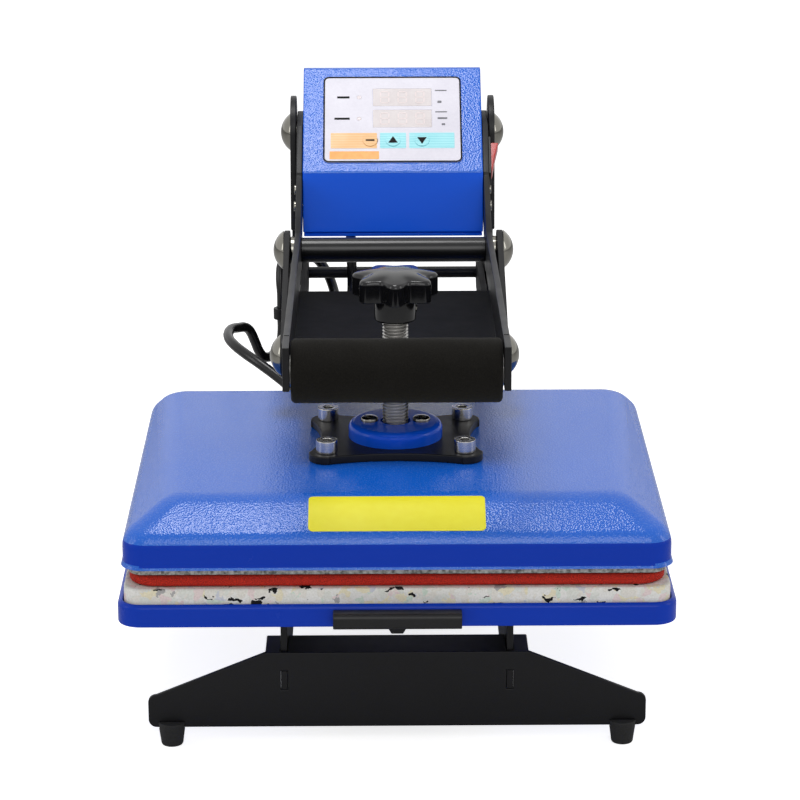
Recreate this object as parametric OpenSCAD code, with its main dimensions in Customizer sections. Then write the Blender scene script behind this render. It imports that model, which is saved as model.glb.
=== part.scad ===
// Flat heat press: a clamshell press with an over-centre lever, a heated upper platen and a sliding bed.
// Millimetres. X is right, -Y is the front, Z is up. Y values below are measured behind the screw axis.

/* [Upper platen] */
// Width of the stamped cover
cover_w = 321; // [290:1:340]
// Depth of the stamped cover
cover_d = 265; // [240:1:280]
// Corner radius of the cover
cover_r = 13; // [10:1:30]
// Height of the cover's upright wall
cover_wall_h = 19; // [8:0.5:24]
// Rise of the cover's sloped shoulder
shoulder_h = 15.3; // [8:0.1:24]
// Run of the cover's sloped shoulder
shoulder_run = 32; // [16:1:44]
// Sheet thickness of the cover
cover_t = 1.5; // [1:0.1:2.5]
// How far the cover's bottom lip flares out
lip_out = 1; // [0.5:0.1:2.5]
// Height of the flared lip
lip_h = 2.5; // [1.5:0.1:5]
// Thickness of the aluminium heating plate
plate_t = 12; // [8:0.5:14]
// How much of the heating plate shows under the cover
plate_show = 4.4; // [1:0.1:5]
// Diameter of the tubular heating element
element_d = 6.6; // [5:0.1:8]
// Diameter of the posts between plate and cover
post_d = 14; // [12:0.5:18]

/* [Bracket and screw] */
// Spacing of the bracket screws across the press
bolt_x = 84; // [72:1:100]
// Spacing of the bracket screws along the press
bolt_y = 66; // [58:1:80]
// Radius of the bracket's lobes
lobe_r = 11; // [9:0.5:14]
// Thickness of the bracket plate
bracket_t = 5; // [3:0.5:8]
// Diameter of the cap screws
cap_screw_d = 8; // [6:0.5:8]
// Diameter of the thrust collar
collar_d = 58; // [48:1:64]
// Height of the thrust collar
collar_h = 9.5; // [8:0.5:14]
// Diameter of the pressure screw
screw_d = 16; // [12:1:18]
// Diameter of the star knob
knob_d = 54; // [44:1:60]
// Height of the star knob
knob_h = 17; // [14:1:30]
// Number of the knob's lobes
knob_lobes = 7; // [5:1:9]
// Diameter of the knob's hub
hub_d = 25; // [25:0.5:32]
// Height of the knob's hub
hub_h = 14.5; // [9:0.5:18]
// Screw that shows between the arm and the hub
screw_show = 18.5; // [12:0.5:20]

/* [Bed] */
// Width of the bed tray
tray_w = 328; // [300:1:340]
// Depth of the bed tray
tray_d = 270; // [240:1:280]
// Height of the tray's underside above the floor
tray_z = 91; // [84:0.5:100]
// Height of the tray
tray_h = 13.6; // [12:0.1:22]
// Depth of the pocket that holds the foam pad
pocket_h = 6; // [3:0.5:10]
// Thickness of the rebond foam pad
foam_t = 15.2; // [10:0.1:20]
// Thickness of the silicone pad
silicone_t = 7.4; // [5:0.1:12]
// Width of the pull at the front of the tray
pull_w = 75; // [60:1:100]
// Height of the pull
pull_h = 9.5; // [8:0.5:14]
// How far the pull stands out from the tray
pull_out = 10; // [8:0.5:16]
// How far the bed slides out
bed_travel = 120; // [60:5:150]

/* [Base] */
// Height of the rubber feet
foot_h = 11; // [8:0.5:16]
// Width of the foot sheets
foot_w = 300; // [260:1:330]
// Height of the foot sheets
foot_sheet_h = 48; // [44:1:56]
// Width of the foot sheets' top edge
foot_top_w = 158; // [156:1:200]
// Height of the foot sheets' ends
foot_end_h = 21; // [16:1:30]
// Distance from the screw axis to the front foot sheet
front_foot_y = 95; // [80:1:110]
// Distance from the screw axis to the rear foot sheet
rear_foot_y = 300; // [290:1:330]
// Depth of the fold along the top of the foot sheets
fold_d = 26; // [18:1:30]
// Spacing of the rubber feet across the press
foot_spacing = 272; // [220:1:280]
// Thickness of the side plates
side_t = 4; // [3:0.5:4]
// Distance from the middle to the inner face of a side plate
side_x = 65.8; // [65.5:0.1:67]
// Width of the bed rails
rail_w = 11.6; // [11:0.1:14]

/* [Linkage] */
// Lever pivot, behind the screw axis
top_y = 270; // [265:1:276]
// Lever pivot, above the floor
top_z = 298; // [292:1:304]
// Link pivot on the lever, behind the screw axis
mid_y = 167; // [160:1:172]
// Link pivot on the lever, above the floor
mid_z = 240.5; // [238:0.5:244]
// Link pivot on the arm, behind the screw axis
low_y = 65; // [60:1:70]
// Link pivot on the arm, above the floor
low_z = 198; // [196:0.5:200]
// Arm pivot, behind the screw axis
arm_y = 288; // [284:1:292]
// Arm pivot, above the floor
arm_z = 193; // [190:0.5:196]
// Thickness of lever plates, links and arm sheet
link_t = 4; // [3:0.5:4]
// Diameter of the pivot bolts
pivot_d = 10; // [8:0.5:12]
// Diameter of the arm's pivot shaft
shaft_d = 8; // [7:0.5:12]
// Diameter of the domed bolt heads
dome_d = 26; // [20:0.5:28]
// Height of the domed bolt heads
dome_h = 7; // [5:0.5:8]
// Half width of the lever's strips
lever_half = 13; // [11:0.5:14]
// Distance from the middle to the inner face of a lever plate
lever_x = 61; // [60.5:0.1:61]
// Gap between the lever plates and the links
link_gap = 3.3; // [3:0.1:4]
// Distance from the screw axis forward to the lever's front end
lever_front = 143; // [130:1:150]
// Height of the lever's middle line at its front end
lever_front_z = 250; // [246:0.5:254]
// Half width of the arm
arm_half = 63; // [60:0.5:63]
// Height of the arm's top above the floor
arm_top_z = 221; // [219:0.5:222]
// How far the arm's plate reaches behind the screw axis
arm_back = 135; // [120:1:138]
// How far the arm's plate reaches in front of the screw axis
arm_front = 34; // [28:1:40]

/* [Grip] */
// Diameter of the foam grip
grip_d = 37.5; // [28:0.5:38]
// Distance from the screw axis forward to the grip
grip_y = 126.2; // [118:0.1:130]
// Height of the grip above the floor
grip_z = 244.6; // [242:0.1:250]
// Diameter of the steel tube inside the grip
grip_tube_d = 18; // [14:0.5:20]
// Diameter of the spacer tube between the lever plates
spacer_d = 16.5; // [14:0.5:20]

/* [Control box] */
// Gap between the box and the lever plates
box_gap = 0.3; // [0.2:0.1:1]
// Wall of the control box
box_wall = 2; // [1.2:0.1:3]
// Width of the panel overlay
overlay_w = 94; // [88:1:104]
// Height of the panel overlay
overlay_h = 73; // [70:1:78]
// Thickness of the panel overlay
overlay_t = 0.6; // [0.4:0.1:1]
// Diameter of the keys
key_d = 10; // [8:0.5:12]
// Travel of the keys
key_travel = 0.4; // [0.3:0.1:0.5]
// Length of the switch bezel
bezel_h = 31; // [28:0.5:32]
// Width of the switch bezel
bezel_w = 14; // [13:0.5:15]

/* [Heater lead] */
// Diameter of the heater lead
lead_d = 7; // [5:0.5:8]

/* [Clearances] */
// Radial running clearance of pivots
run_gap = 0.05; // [0.02:0.01:0.1]
// Gap between parts that move past each other
move_gap = 0.3; // [0.2:0.05:0.6]
// Gap between fitted parts of one body
fit_gap = 0.1; // [0.05:0.05:0.3]

/* [Hidden] */
$fn = 48;

// Pivots as points behind the screw axis and above the floor
top_p = [top_y, top_z];
mid_p = [mid_y, mid_z];
low_p = [low_y, low_z];
arm_p = [arm_y, arm_z];

// Base
sheet_t = 3;
side_out = side_x + side_t;
side_mid = side_x + side_t / 2;
foot_top_z = foot_h + foot_sheet_h;
side_bottom_z = foot_h + 12;
side_front_y = -front_foot_y + sheet_t;
side_rear_y = rear_foot_y - sheet_t;
head_r = 25;
head_front_y = top_y - 34;
head_step_z = mid_z - 3.5;
throat_y = arm_y - 22;
throat_cut = 30;
back_y = arm_y + 24;
heel_rise = 24;
tab_z = foot_h + 24;
rubber_d = 17;
rubber_tip_d = 13;
tab_h = 12;

// Bed rails and runners
rail_wall = 1.6;
rail_top_z = tray_z - 0.8;
rail_h = 14;
rail_z = rail_top_z - rail_h;
side_top_z = rail_z;
rail_lip = 1.2;
runner_foot_h = 4;
rail_front_y = -front_foot_y + sheet_t + 2;
rail_rear_y = throat_y - throat_cut - 2;
foam_z = tray_z + tray_h - pocket_h;
tray_wall = 3;
tray_r = 14;
tray_edge_r = 3.2;
foam_in = tray_edge_r + 3 * fit_gap;
foam_r = tray_r - tray_edge_r;
pad_over = 0.5;
pad_r = 12;
web_z = foam_z - tray_wall;
silicone_z = foam_z + foam_t;
pad_top_z = silicone_z + silicone_t;

// Upper platen
plate_z = pad_top_z + move_gap;
cover_z = plate_z + plate_show;
shoulder_z = cover_z + cover_wall_h;
cover_top_z = shoulder_z + shoulder_h;
cover_in_top_z = cover_top_z - cover_t;
plate_top_z = plate_z + plate_t;
cover_gap = 2;
plate_w = cover_w - 2 * cover_t - 2 * cover_gap;
plate_d = cover_d - 2 * cover_t - 2 * cover_gap;
bracket_z = cover_top_z;
collar_z = bracket_z + bracket_t;
collar_top_z = collar_z + collar_h;
insulation_z = plate_top_z + element_d + 2 * move_gap;
insulation_top_z = cover_in_top_z - 1;
insulation_in = 5;
insulation_w = cover_w - 2 * shoulder_run - 2 * insulation_in;
insulation_d = cover_d - 2 * shoulder_run - 2 * insulation_in;
rod_pitch = 56;
thrust_d = 24;
thrust_h = 4;

// Screw and knob
hub_z = arm_top_z + screw_show;
knob_z = hub_z + hub_h;
set_screw_d = 5;
nut_d = 30;
nut_h = 14;

// Lever, links and grip
lever_out = lever_x + link_t;
link_x = lever_out + link_gap;
link_out = link_x + link_t;
lever_head_r = 14.5;
cheek_inset = 2.5;
cheek_len = 40;
front_p = [-lever_front, lever_front_z];
grip_p = [-grip_y, grip_z];
bush_d = 18;
stub_d = 20;
stub_out = link_x - move_gap;

// Control box, as points behind the screw axis and above the floor
box_x = lever_x - box_gap;
box_low_ahead = 69;
box_low_drop = 54.3;
box_fold_ahead = 62;
box_fold_drop = 14;
box_top_behind = 5;
box_top_rise = 43;
box_back_behind = 8;
box_front_low = [top_y - box_low_ahead, top_z - box_low_drop];
box_front_high = [top_y - box_fold_ahead, top_z - box_fold_drop];
box_panel_top = [top_y + box_top_behind, top_z + box_top_rise];
box_back_y = top_y + box_back_behind;
box_outline = [
    box_front_low, [box_back_y, box_front_low.y], [box_back_y, box_panel_top.y],
    box_panel_top, box_front_high
];
panel_run = box_panel_top - box_front_high;
panel_tilt = atan2(panel_run.y, panel_run.x);
panel_len = norm(panel_run);
panel_mid = (box_panel_top + box_front_high) / 2;
window_w = 40;
window_h = 14.8;
window_x = 6.8;
window_u = [18.7, 0.4];
lamp_x = -22.6;
lamp_d = 3;
key_u = -18.3;
key_x = [-15.2, 0.3, 19.9];
key_up_h = 1.2;
key_deep = 4;
board_n = -8;
board_t = 1.6;
switch_deep = 16;
board_w = 2 * (lever_out - switch_deep - 1);
board_h = 70;
board_post_d = 6;
switch_ahead = 44;
switch_drop = 11;
switch_p = [top_y - switch_ahead, top_z - switch_drop];
bezel_t = 1.5;
rocker_w = bezel_w - 4;
rocker_h = bezel_h - 5;
box_screw_d = 4;
box_screw_head_d = 7;
box_screw_ahead = [40, 54];
box_screw_drop = [31.4, 39.6];
box_screw_p = [for (i = [0, 1]) [top_y - box_screw_ahead[i], top_z - box_screw_drop[i]]];

// Heater lead: where it leaves the box, its clip on the base and its end at the platen
gland_x = -29;
gland_ahead = 8;
gland_p = [gland_x, top_y - gland_ahead, box_front_low.y];
gland_h = 12;
gland_d = 13;
clip_out = 9;
clip_behind = 12;
clip_drop = 33;
clip_p = [-(side_out + clip_out), arm_y + clip_behind, arm_z - clip_drop];
clip_len = 8;
platen_gland_x = -60;
platen_gland_up = 9;
platen_gland_p = [platen_gland_x, cover_d / 2, cover_z + platen_gland_up];
upper_route = [
    gland_p - [0, 0, gland_h], [-29, 262, 222], [-29, 262, 205], [-29, 263, 188], [-30, 265, 172],
    [-33, 271, 160], [-37, 281, 158], [-41, 292, 166], [-46, 301, 179], [-52, 308, 193],
    [-60, 316, 203], [-69, 321, 204], [-77, 320, 199], [-81, 315, 190], [-80, 308, 180],
    [clip_p.x, clip_p.y, 172], clip_p + [0, 0, clip_len / 2]
];
lower_route = [
    clip_p - [0, 0, clip_len / 2], [clip_p.x, clip_p.y, 148], [-83, 293, 142], [-91, 284, 143],
    [-101, 270, 149], [-109, 254, 154], [-112, 237, 157], [-110, 220, 159], [-103, 204, 160], [-93, 189, 158],
    [-80, 177, 153], [-69, 167, 147], [-62, 159, 140.5], [-60, 152, platen_gland_p.z],
    platen_gland_p + [0, gland_h, 0]
];

// The part is centred front to back between the grip or the pull and the side plates' backs
front_reach = max(tray_d / 2 + pull_out, grip_y + grip_d / 2, lever_front);
rear_reach = max(back_y, rear_foot_y - sheet_t / 2 + rubber_d / 2);
centre_shift = (front_reach - rear_reach) / 2;

// Moves a piece from the screw axis to the part's own origin
module seat() {
    translate([0, centre_shift, 0]) children();
}

// Mirrors a right-hand piece to the left when side is -1
module handed(side) {
    mirror([side < 0 ? 1 : 0, 0, 0]) children();
}

// Extrudes an outline drawn in Y and Z along X, from x for a thickness t
module sheet_x(x, t) {
    translate([x, 0, 0]) rotate([90, 0, 90]) linear_extrude(t) children();
}

// A bar along X at a pivot, from x0 to x1
module rod_x(p, d, x0, x1) {
    translate([x0, p.x, p.y]) rotate([0, 90, 0]) cylinder(d = d, h = x1 - x0);
}

// A strip with round ends between two pivots
module strip(p, q, half) {
    run = q - p;
    translate(p) rotate(atan2(run.y, run.x)) {
        translate([0, -half]) square([norm(run), 2 * half]);
        circle(half);
        translate([norm(run), 0]) circle(half);
    }
}

// A rectangle with round corners, centred
module round_rect(w, h, r) {
    square([w - 2 * r, h], center = true);
    square([w, h - 2 * r], center = true);
    for (x = [-1, 1], y = [-1, 1]) {
        translate([x * (w / 2 - r), y * (h / 2 - r)]) circle(r);
    }
}

// A domed bolt head at a pivot, standing out along X from a face
module dome_head(p, x) {
    dome_r = (dome_d * dome_d / 4 + dome_h * dome_h) / (2 * dome_h);
    translate([x, p.x, p.y]) rotate([0, 90, 0]) intersection() {
        cylinder(d = dome_d, h = dome_h);
        translate([0, 0, dome_h - dome_r]) sphere(dome_r);
    }
}

// Children placed on the sloped panel: X across, Y up the slope, Z out of it
module on_panel() {
    translate([0, panel_mid.x, panel_mid.y]) rotate([panel_tilt, 0, 0]) children();
}

// Moves each corner of an outline inwards by t
function inset(points, t) = [
    for (i = [0 : len(points) - 1])
        let (
            n = len(points),
            a = points[(i + n - 1) % n],
            b = points[i],
            c = points[(i + 1) % n],
            u = (b - a) / norm(b - a),
            v = (c - b) / norm(c - b),
            nu = [-u.y, u.x],
            nv = [-v.y, v.x]
        ) b + t * (nu + nv) / (1 + nu * nv)
];

// Unit vector along v
function unit(v) = v / norm(v);

// Direction of a route at point i
function route_dir(route, i) = unit(route[min(i + 1, len(route) - 1)] - route[max(i - 1, 0)]);

// Ring of points round a route's point i
function ring(route, i, r, sides) =
    let (
        w = route_dir(route, i),
        side = abs(w.x) < 0.9 ? [1, 0, 0] : [0, 0, 1],
        u = unit(cross(w, side)),
        v = cross(w, u)
    ) [for (k = [0 : sides - 1]) route[i] + r * (cos(360 * k / sides) * u + sin(360 * k / sides) * v)];

// A round lead swept along a route
module lead(route, d) {
    sides = 10;
    n = len(route);
    points = [for (i = [0 : n - 1]) each ring(route, i, d / 2, sides)];
    walls = [
        for (i = [0 : n - 2], k = [0 : sides - 1], half = [0, 1])
            let (
                a = i * sides + k,
                b = i * sides + (k + 1) % sides
            ) half == 0 ? [a, a + sides, b] : [b, a + sides, b + sides]
    ];
    ends = [
        for (k = [1 : sides - 2], half = [0, 1])
            half == 0 ? [0, k, k + 1] : [(n - 1) * sides, (n - 1) * sides + k + 1, (n - 1) * sides + k]
    ];
    polyhedron(points, concat(walls, ends));
}

// Side plate of the base: a low rail under the bed that rises behind it to the lever pivot
module base_outline() {
    difference() {
        union() {
            polygon([
                [side_front_y, side_bottom_z], [side_rear_y, side_bottom_z],
                [side_rear_y, foot_top_z + fit_gap], [back_y, foot_top_z + heel_rise],
                [back_y, arm_z], [top_y + head_r, top_z], [top_y - head_r, top_z],
                [head_front_y, head_step_z], [throat_y, head_step_z - 8], [throat_y, side_top_z + throat_cut],
                [throat_y - throat_cut, side_top_z], [side_front_y, side_top_z]
            ]);
            translate(top_p) circle(head_r);
            translate([side_front_y - sheet_t, tab_z]) square([sheet_t + 1, tab_h]);
            translate([side_rear_y - 1, tab_z]) square([sheet_t + 1, tab_h]);
        }
        translate(top_p) circle(d = pivot_d + 2 * fit_gap);
        translate(arm_p) circle(d = shaft_d + 2 * fit_gap);
    }
}

module base_plate(side) {
    seat() handed(side) sheet_x(side_x, side_t) base_outline();
}

module left_base_plate() {
    color("#1c1c1e") base_plate(-1);
}

module right_base_plate() {
    color("#1c1c1e") base_plate(1);
}

// Foot sheet with sloping shoulders, a folded top edge and two slots for the side plates' tabs
module foot_sheet() {
    corner_r = 5;
    rotate([90, 0, 0]) linear_extrude(sheet_t) difference() {
        union() {
            translate([0, foot_h + foot_end_h / 2]) round_rect(foot_w, foot_end_h, corner_r);
            polygon([
                [-foot_w / 2 + corner_r, foot_h + foot_end_h], [foot_w / 2 - corner_r, foot_h + foot_end_h],
                [foot_top_w / 2, foot_top_z], [-foot_top_w / 2, foot_top_z]
            ]);
        }
        for (x = [-1, 1]) {
            translate([x * side_mid - side_t / 2 - fit_gap, tab_z - fit_gap])
                square([side_t + 2 * fit_gap, tab_h + 2 * fit_gap]);
        }
    }
    difference() {
        translate([-foot_top_w / 2, 0, foot_top_z - sheet_t]) cube([foot_top_w, fold_d, sheet_t]);
        for (x = [-1, 1]) {
            translate([x * side_mid - side_t / 2 - fit_gap, 0, foot_top_z - 2 * sheet_t])
                cube([side_t + 2 * fit_gap, fold_d + 1, 3 * sheet_t]);
        }
    }
}

module front_foot() {
    color("#1c1c1e") seat() translate([0, -front_foot_y + sheet_t, 0]) foot_sheet();
}

module rear_foot() {
    color("#1c1c1e") seat() translate([0, rear_foot_y - sheet_t, 0]) rotate([0, 0, 180]) foot_sheet();
}

// Tapered rubber feet, cut to take the bottom edge of the foot sheets
module rubber_feet() {
    grip_in = 4;
    color("#151515") seat() for (x = [-1, 1], y = [-front_foot_y + sheet_t / 2, rear_foot_y - sheet_t / 2]) {
        translate([x * foot_spacing / 2, y, 0]) difference() {
            cylinder(d1 = rubber_tip_d, d2 = rubber_d, h = foot_h + grip_in);
            translate([-20, -sheet_t / 2 - fit_gap, foot_h]) cube([40, sheet_t + 2 * fit_gap, 2 * grip_in]);
        }
    }
}

// Lipped channel that the bed's runners slide in
module bed_rail(side) {
    inner = rail_w / 2 - rail_wall;
    seat() handed(side) translate([side_mid, rail_rear_y, rail_z]) rotate([90, 0, 0])
        linear_extrude(rail_rear_y - rail_front_y) difference() {
            translate([-rail_w / 2, 0]) square([rail_w, rail_h]);
            translate([-inner, rail_wall]) square([2 * inner, rail_h - 2 * rail_wall]);
            translate([-inner + rail_lip, rail_wall]) square([2 * (inner - rail_lip), rail_h]);
        }
}

module left_bed_rail() {
    color("#202022") bed_rail(-1);
}

module right_bed_rail() {
    color("#202022") bed_rail(1);
}

// Shaft that the arm swings on, with bushes beside the arm and nuts outside
module arm_pivot_shaft() {
    color("#2a2a2c") seat() {
        rod_x(arm_p, shaft_d, -side_out - 2, side_out + 2);
        for (side = [-1, 1]) {
            handed(side) {
                difference() {
                    rod_x(arm_p, bush_d, arm_half + move_gap, side_x);
                    rod_x(arm_p, shaft_d - 0.5, 0, side_x + 1);
                }
                rod_x(arm_p, 14, side_out, side_out + 4);
            }
        }
    }
}

// Bolts that the lever swings on
module top_pivot_bolts() {
    color("#2a2a2c") seat() for (side = [-1, 1]) {
        handed(side) {
            dome_head(top_p, side_out);
            rod_x(top_p, pivot_d, lever_x, side_out + 1);
        }
    }
}

// Clip on the left side plate that holds the heater lead
module lead_clip() {
    clip_wall = 2.5;
    clip_d = lead_d + 2 * clip_wall;
    color("#202022") seat() {
        translate(clip_p - [0, 0, clip_len / 2]) cylinder(d = clip_d, h = clip_len);
        translate([clip_p.x, clip_p.y - clip_d / 2, clip_p.z - clip_len / 2])
            cube([-side_out - clip_p.x, clip_d / 2, clip_len]);
    }
}

// Sheet tray with rounded edges and a pocket for the pad
module lower_tray() {
    edge_r = tray_edge_r;
    color("#1d49a5") seat() difference() {
        union() {
            translate([0, 0, tray_z]) linear_extrude(tray_h - edge_r) round_rect(tray_w, tray_d, tray_r);
            translate([0, 0, tray_z]) linear_extrude(tray_h)
                round_rect(tray_w - 2 * edge_r, tray_d - 2 * edge_r, tray_r - edge_r);
            for (x = [-1, 1]) {
                translate([x * (tray_w / 2 - edge_r), tray_d / 2 - tray_r, tray_z + tray_h - edge_r])
                    rotate([90, 0, 0]) cylinder(r = edge_r, h = tray_d - 2 * tray_r);
            }
            for (y = [-1, 1]) {
                translate([-tray_w / 2 + tray_r, y * (tray_d / 2 - edge_r), tray_z + tray_h - edge_r])
                    rotate([0, 90, 0]) cylinder(r = edge_r, h = tray_w - 2 * tray_r);
            }
            for (x = [-1, 1], y = [-1, 1]) {
                translate([x * (tray_w / 2 - tray_r), y * (tray_d / 2 - tray_r), tray_z + tray_h - edge_r])
                    rotate_extrude() translate([tray_r - edge_r, 0]) circle(edge_r);
            }
        }
        translate([0, 0, foam_z]) linear_extrude(tray_h)
            round_rect(tray_w - 2 * edge_r, tray_d - 2 * edge_r, tray_r - edge_r);
        translate([0, 0, tray_z - 1]) linear_extrude(web_z - tray_z + 1)
            round_rect(tray_w - 2 * tray_wall, tray_d - 2 * tray_wall, tray_r - tray_wall);
    }
}

module rebond_pad() {
    color("#d9d5c8") seat() translate([0, 0, foam_z]) linear_extrude(foam_t)
        round_rect(tray_w - 2 * foam_in, tray_d - 2 * foam_in, foam_r);
}

module silicone_pad() {
    color("#b5392e") seat() translate([0, 0, silicone_z]) linear_extrude(silicone_t)
        round_rect(plate_w + 2 * pad_over, plate_d + 2 * pad_over, pad_r);
}

// Pull along the tray's front edge, a bar with rounded front edges
module drawer_pull() {
    edge_r = 3;
    pull_up = 1.5;
    color("#18181a") seat() translate([-pull_w / 2, -tray_d / 2, tray_z + pull_up])
        rotate([90, 0, 90]) linear_extrude(pull_w) {
            translate([-pull_out + edge_r, 0]) square([pull_out - edge_r, pull_h]);
            translate([-pull_out, edge_r]) square([pull_out, pull_h - 2 * edge_r]);
            for (z = [edge_r, pull_h - edge_r]) {
                translate([-pull_out + edge_r, z]) circle(edge_r);
            }
        }
}

// Catch under the tray behind the pull
module drawer_catch() {
    half_w = 9;
    tip_half = 3.5;
    tip_z = tray_z - 10;
    color("#18181a") seat() translate([0, -tray_d / 2 + 22, 0]) rotate([90, 0, 0]) linear_extrude(8)
        polygon([
            [-half_w, web_z], [half_w, web_z], [half_w, tray_z], [tip_half, tip_z], [-tip_half, tip_z],
            [-half_w, tray_z]
        ]);
}

// Runners under the tray, shaped to stay under the rails' lips
module bed_runners() {
    inner = rail_w / 2 - rail_wall;
    foot_half = inner - move_gap;
    neck_half = inner - rail_lip - move_gap;
    foot_z = rail_z + rail_wall + move_gap;
    neck_top = web_z;
    color("#8f9194") seat() for (side = [-1, 1]) {
        handed(side) translate([side_mid, tray_d / 2 - 6, 0]) rotate([90, 0, 0])
            linear_extrude(tray_d / 2 - 6 - rail_front_y - 10) {
                translate([-foot_half, foot_z]) square([2 * foot_half, runner_foot_h]);
                translate([-neck_half, foot_z]) square([2 * neck_half, neck_top - foot_z]);
            }
    }
}

// Outline of the arm's side: a cheek that narrows to the front and an ear back to the pivot
module arm_side_outline() {
    ear_half = 12;
    difference() {
        union() {
            polygon([
                [-arm_front, arm_top_z], [-arm_front, arm_top_z - 20], [low_y - 30, low_z - 10],
                [low_y, low_z - ear_half], [arm_back, low_z - ear_half], [arm_back, arm_top_z]
            ]);
            strip(low_p, arm_p, ear_half);
        }
        translate(arm_p) circle(d = shaft_d + 2 * run_gap);
    }
}

// Folded arm: a flat top, two cheeks, and stubs that meet the links
module arm() {
    color("#1c1c1e") seat() {
        difference() {
            translate([-arm_half, -arm_front, arm_top_z - link_t])
                cube([2 * arm_half, arm_front + arm_back, link_t]);
            translate([0, 0, arm_top_z - 2 * link_t]) cylinder(d = nut_d - 6, h = 3 * link_t);
        }
        for (side = [-1, 1]) {
            handed(side) {
                sheet_x(arm_half - link_t, link_t) arm_side_outline();
                rod_x(low_p, stub_d, arm_half - 1, stub_out);
            }
        }
    }
}

// Flanged nut that the pressure screw runs in
module pressure_nut() {
    color("#6b6d70") seat() difference() {
        union() {
            translate([0, 0, arm_top_z - link_t - 5]) cylinder(d = nut_d + 8, h = 5);
            translate([0, 0, arm_top_z - link_t]) cylinder(d = nut_d - 6 - 2 * fit_gap, h = link_t + 1);
            translate([0, 0, arm_top_z - link_t - nut_h]) cylinder(d = nut_d, h = nut_h);
        }
        translate([0, 0, arm_top_z - 2 * nut_h]) cylinder(d = screw_d + 2 * run_gap, h = 3 * nut_h);
    }
}

// Outer form of the cover, smaller all round by t
module cover_form(t) {
    w = cover_w - 2 * t;
    d = cover_d - 2 * t;
    r = max(cover_r - t, 1);
    top_r = max(cover_r - shoulder_run / 4 - t, 2);
    slab = 0.1;
    translate([0, 0, cover_z - 1]) linear_extrude(cover_wall_h + 1) round_rect(w, d, r);
    hull() {
        translate([0, 0, shoulder_z - slab]) linear_extrude(slab) round_rect(w, d, r, $fn = 32);
        translate([0, 0, cover_top_z - t - slab]) linear_extrude(slab)
            round_rect(w - 2 * shoulder_run, d - 2 * shoulder_run, top_r, $fn = 32);
    }
}

// Stamped cover with an upright wall, sloped shoulders and a flared lip
module platen_cover() {
    color("#1d49a5") seat() difference() {
        union() {
            intersection() {
                cover_form(0);
                translate([-cover_w, -cover_d, cover_z]) cube([2 * cover_w, 2 * cover_d, cover_top_z]);
            }
            translate([0, 0, cover_z]) linear_extrude(lip_h)
                round_rect(cover_w + 2 * lip_out, cover_d + 2 * lip_out, cover_r + lip_out);
        }
        cover_form(cover_t);
        for (x = [-1, 1], y = [-1, 1]) {
            translate([x * bolt_x / 2, y * bolt_y / 2, cover_top_z - 10])
                cylinder(d = cap_screw_d + 4 * fit_gap, h = 20);
        }
        translate(platen_gland_p - [0, 10, 0]) rotate([-90, 0, 0])
            cylinder(d = gland_d - 5 + 2 * fit_gap, h = 20);
    }
}

// Cast heating plate
module heating_plate() {
    color("#9a9c9e") seat() translate([0, 0, plate_z]) linear_extrude(plate_t)
        round_rect(plate_w, plate_d, cover_r - 4);
}

// Tubular element that runs to and fro over the plate
module heating_element() {
    rows = 3;
    rod_len = insulation_w - 40;
    rod_z = plate_top_z + element_d / 2 + move_gap;
    color("#4a4644") seat() for (i = [0 : rows - 1]) {
        y = (i - (rows - 1) / 2) * rod_pitch;
        translate([-rod_len / 2, y, rod_z]) rotate([0, 90, 0]) cylinder(d = element_d, h = rod_len);
        if (i < rows - 1) {
            end = i % 2 == 0 ? 1 : -1;
            translate([end * rod_len / 2, y + rod_pitch / 2, rod_z]) rotate([0, 0, end > 0 ? -90 : 90])
                rotate_extrude(angle = 180) translate([rod_pitch / 2, 0]) circle(d = element_d);
        }
    }
}

// Insulating board between the element and the cover
module insulation() {
    color("#e4e0d4") seat() difference() {
        translate([0, 0, insulation_z]) linear_extrude(insulation_top_z - insulation_z)
            round_rect(insulation_w, insulation_d, 6);
        for (x = [-1, 1], y = [-1, 1]) {
            translate([x * bolt_x / 2, y * bolt_y / 2, insulation_z - 1]) cylinder(d = post_d + 1, h = 60);
        }
    }
}

// Posts that carry the heating plate from the bracket
module platen_posts() {
    color("#8f9194") seat() for (x = [-1, 1], y = [-1, 1]) {
        translate([x * bolt_x / 2, y * bolt_y / 2, plate_top_z]) difference() {
            cylinder(d = post_d, h = cover_in_top_z - plate_top_z);
            translate([0, 0, 2]) cylinder(d = cap_screw_d + 2 * fit_gap, h = 60);
        }
    }
}

// Four-lobed bracket plate with drawn-in sides
module bracket_plate() {
    waist = 7;
    arc_x = (bolt_x * bolt_x / 4 + waist * waist) / (2 * waist);
    arc_y = (bolt_y * bolt_y / 4 + waist * waist) / (2 * waist);
    color("#1c1c1e") seat() translate([0, 0, bracket_z]) linear_extrude(bracket_t) difference() {
        round_rect(bolt_x + 2 * lobe_r, bolt_y + 2 * lobe_r, lobe_r);
        for (s = [-1, 1]) {
            intersection() {
                translate([0, s * (bolt_y / 2 + lobe_r + arc_x - waist)]) circle(arc_x);
                translate([-bolt_x / 2 + lobe_r * 0.2, s > 0 ? 0 : -bolt_y])
                    square([bolt_x - lobe_r * 0.4, bolt_y]);
            }
            intersection() {
                translate([s * (bolt_x / 2 + lobe_r + arc_y - waist), 0]) circle(arc_y);
                translate([s > 0 ? 0 : -bolt_x, -bolt_y / 2 + lobe_r * 0.2])
                    square([bolt_x, bolt_y - lobe_r * 0.4]);
            }
        }
        for (x = [-1, 1], y = [-1, 1]) {
            translate([x * bolt_x / 2, y * bolt_y / 2]) circle(d = cap_screw_d + 2 * fit_gap);
        }
    }
}

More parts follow.
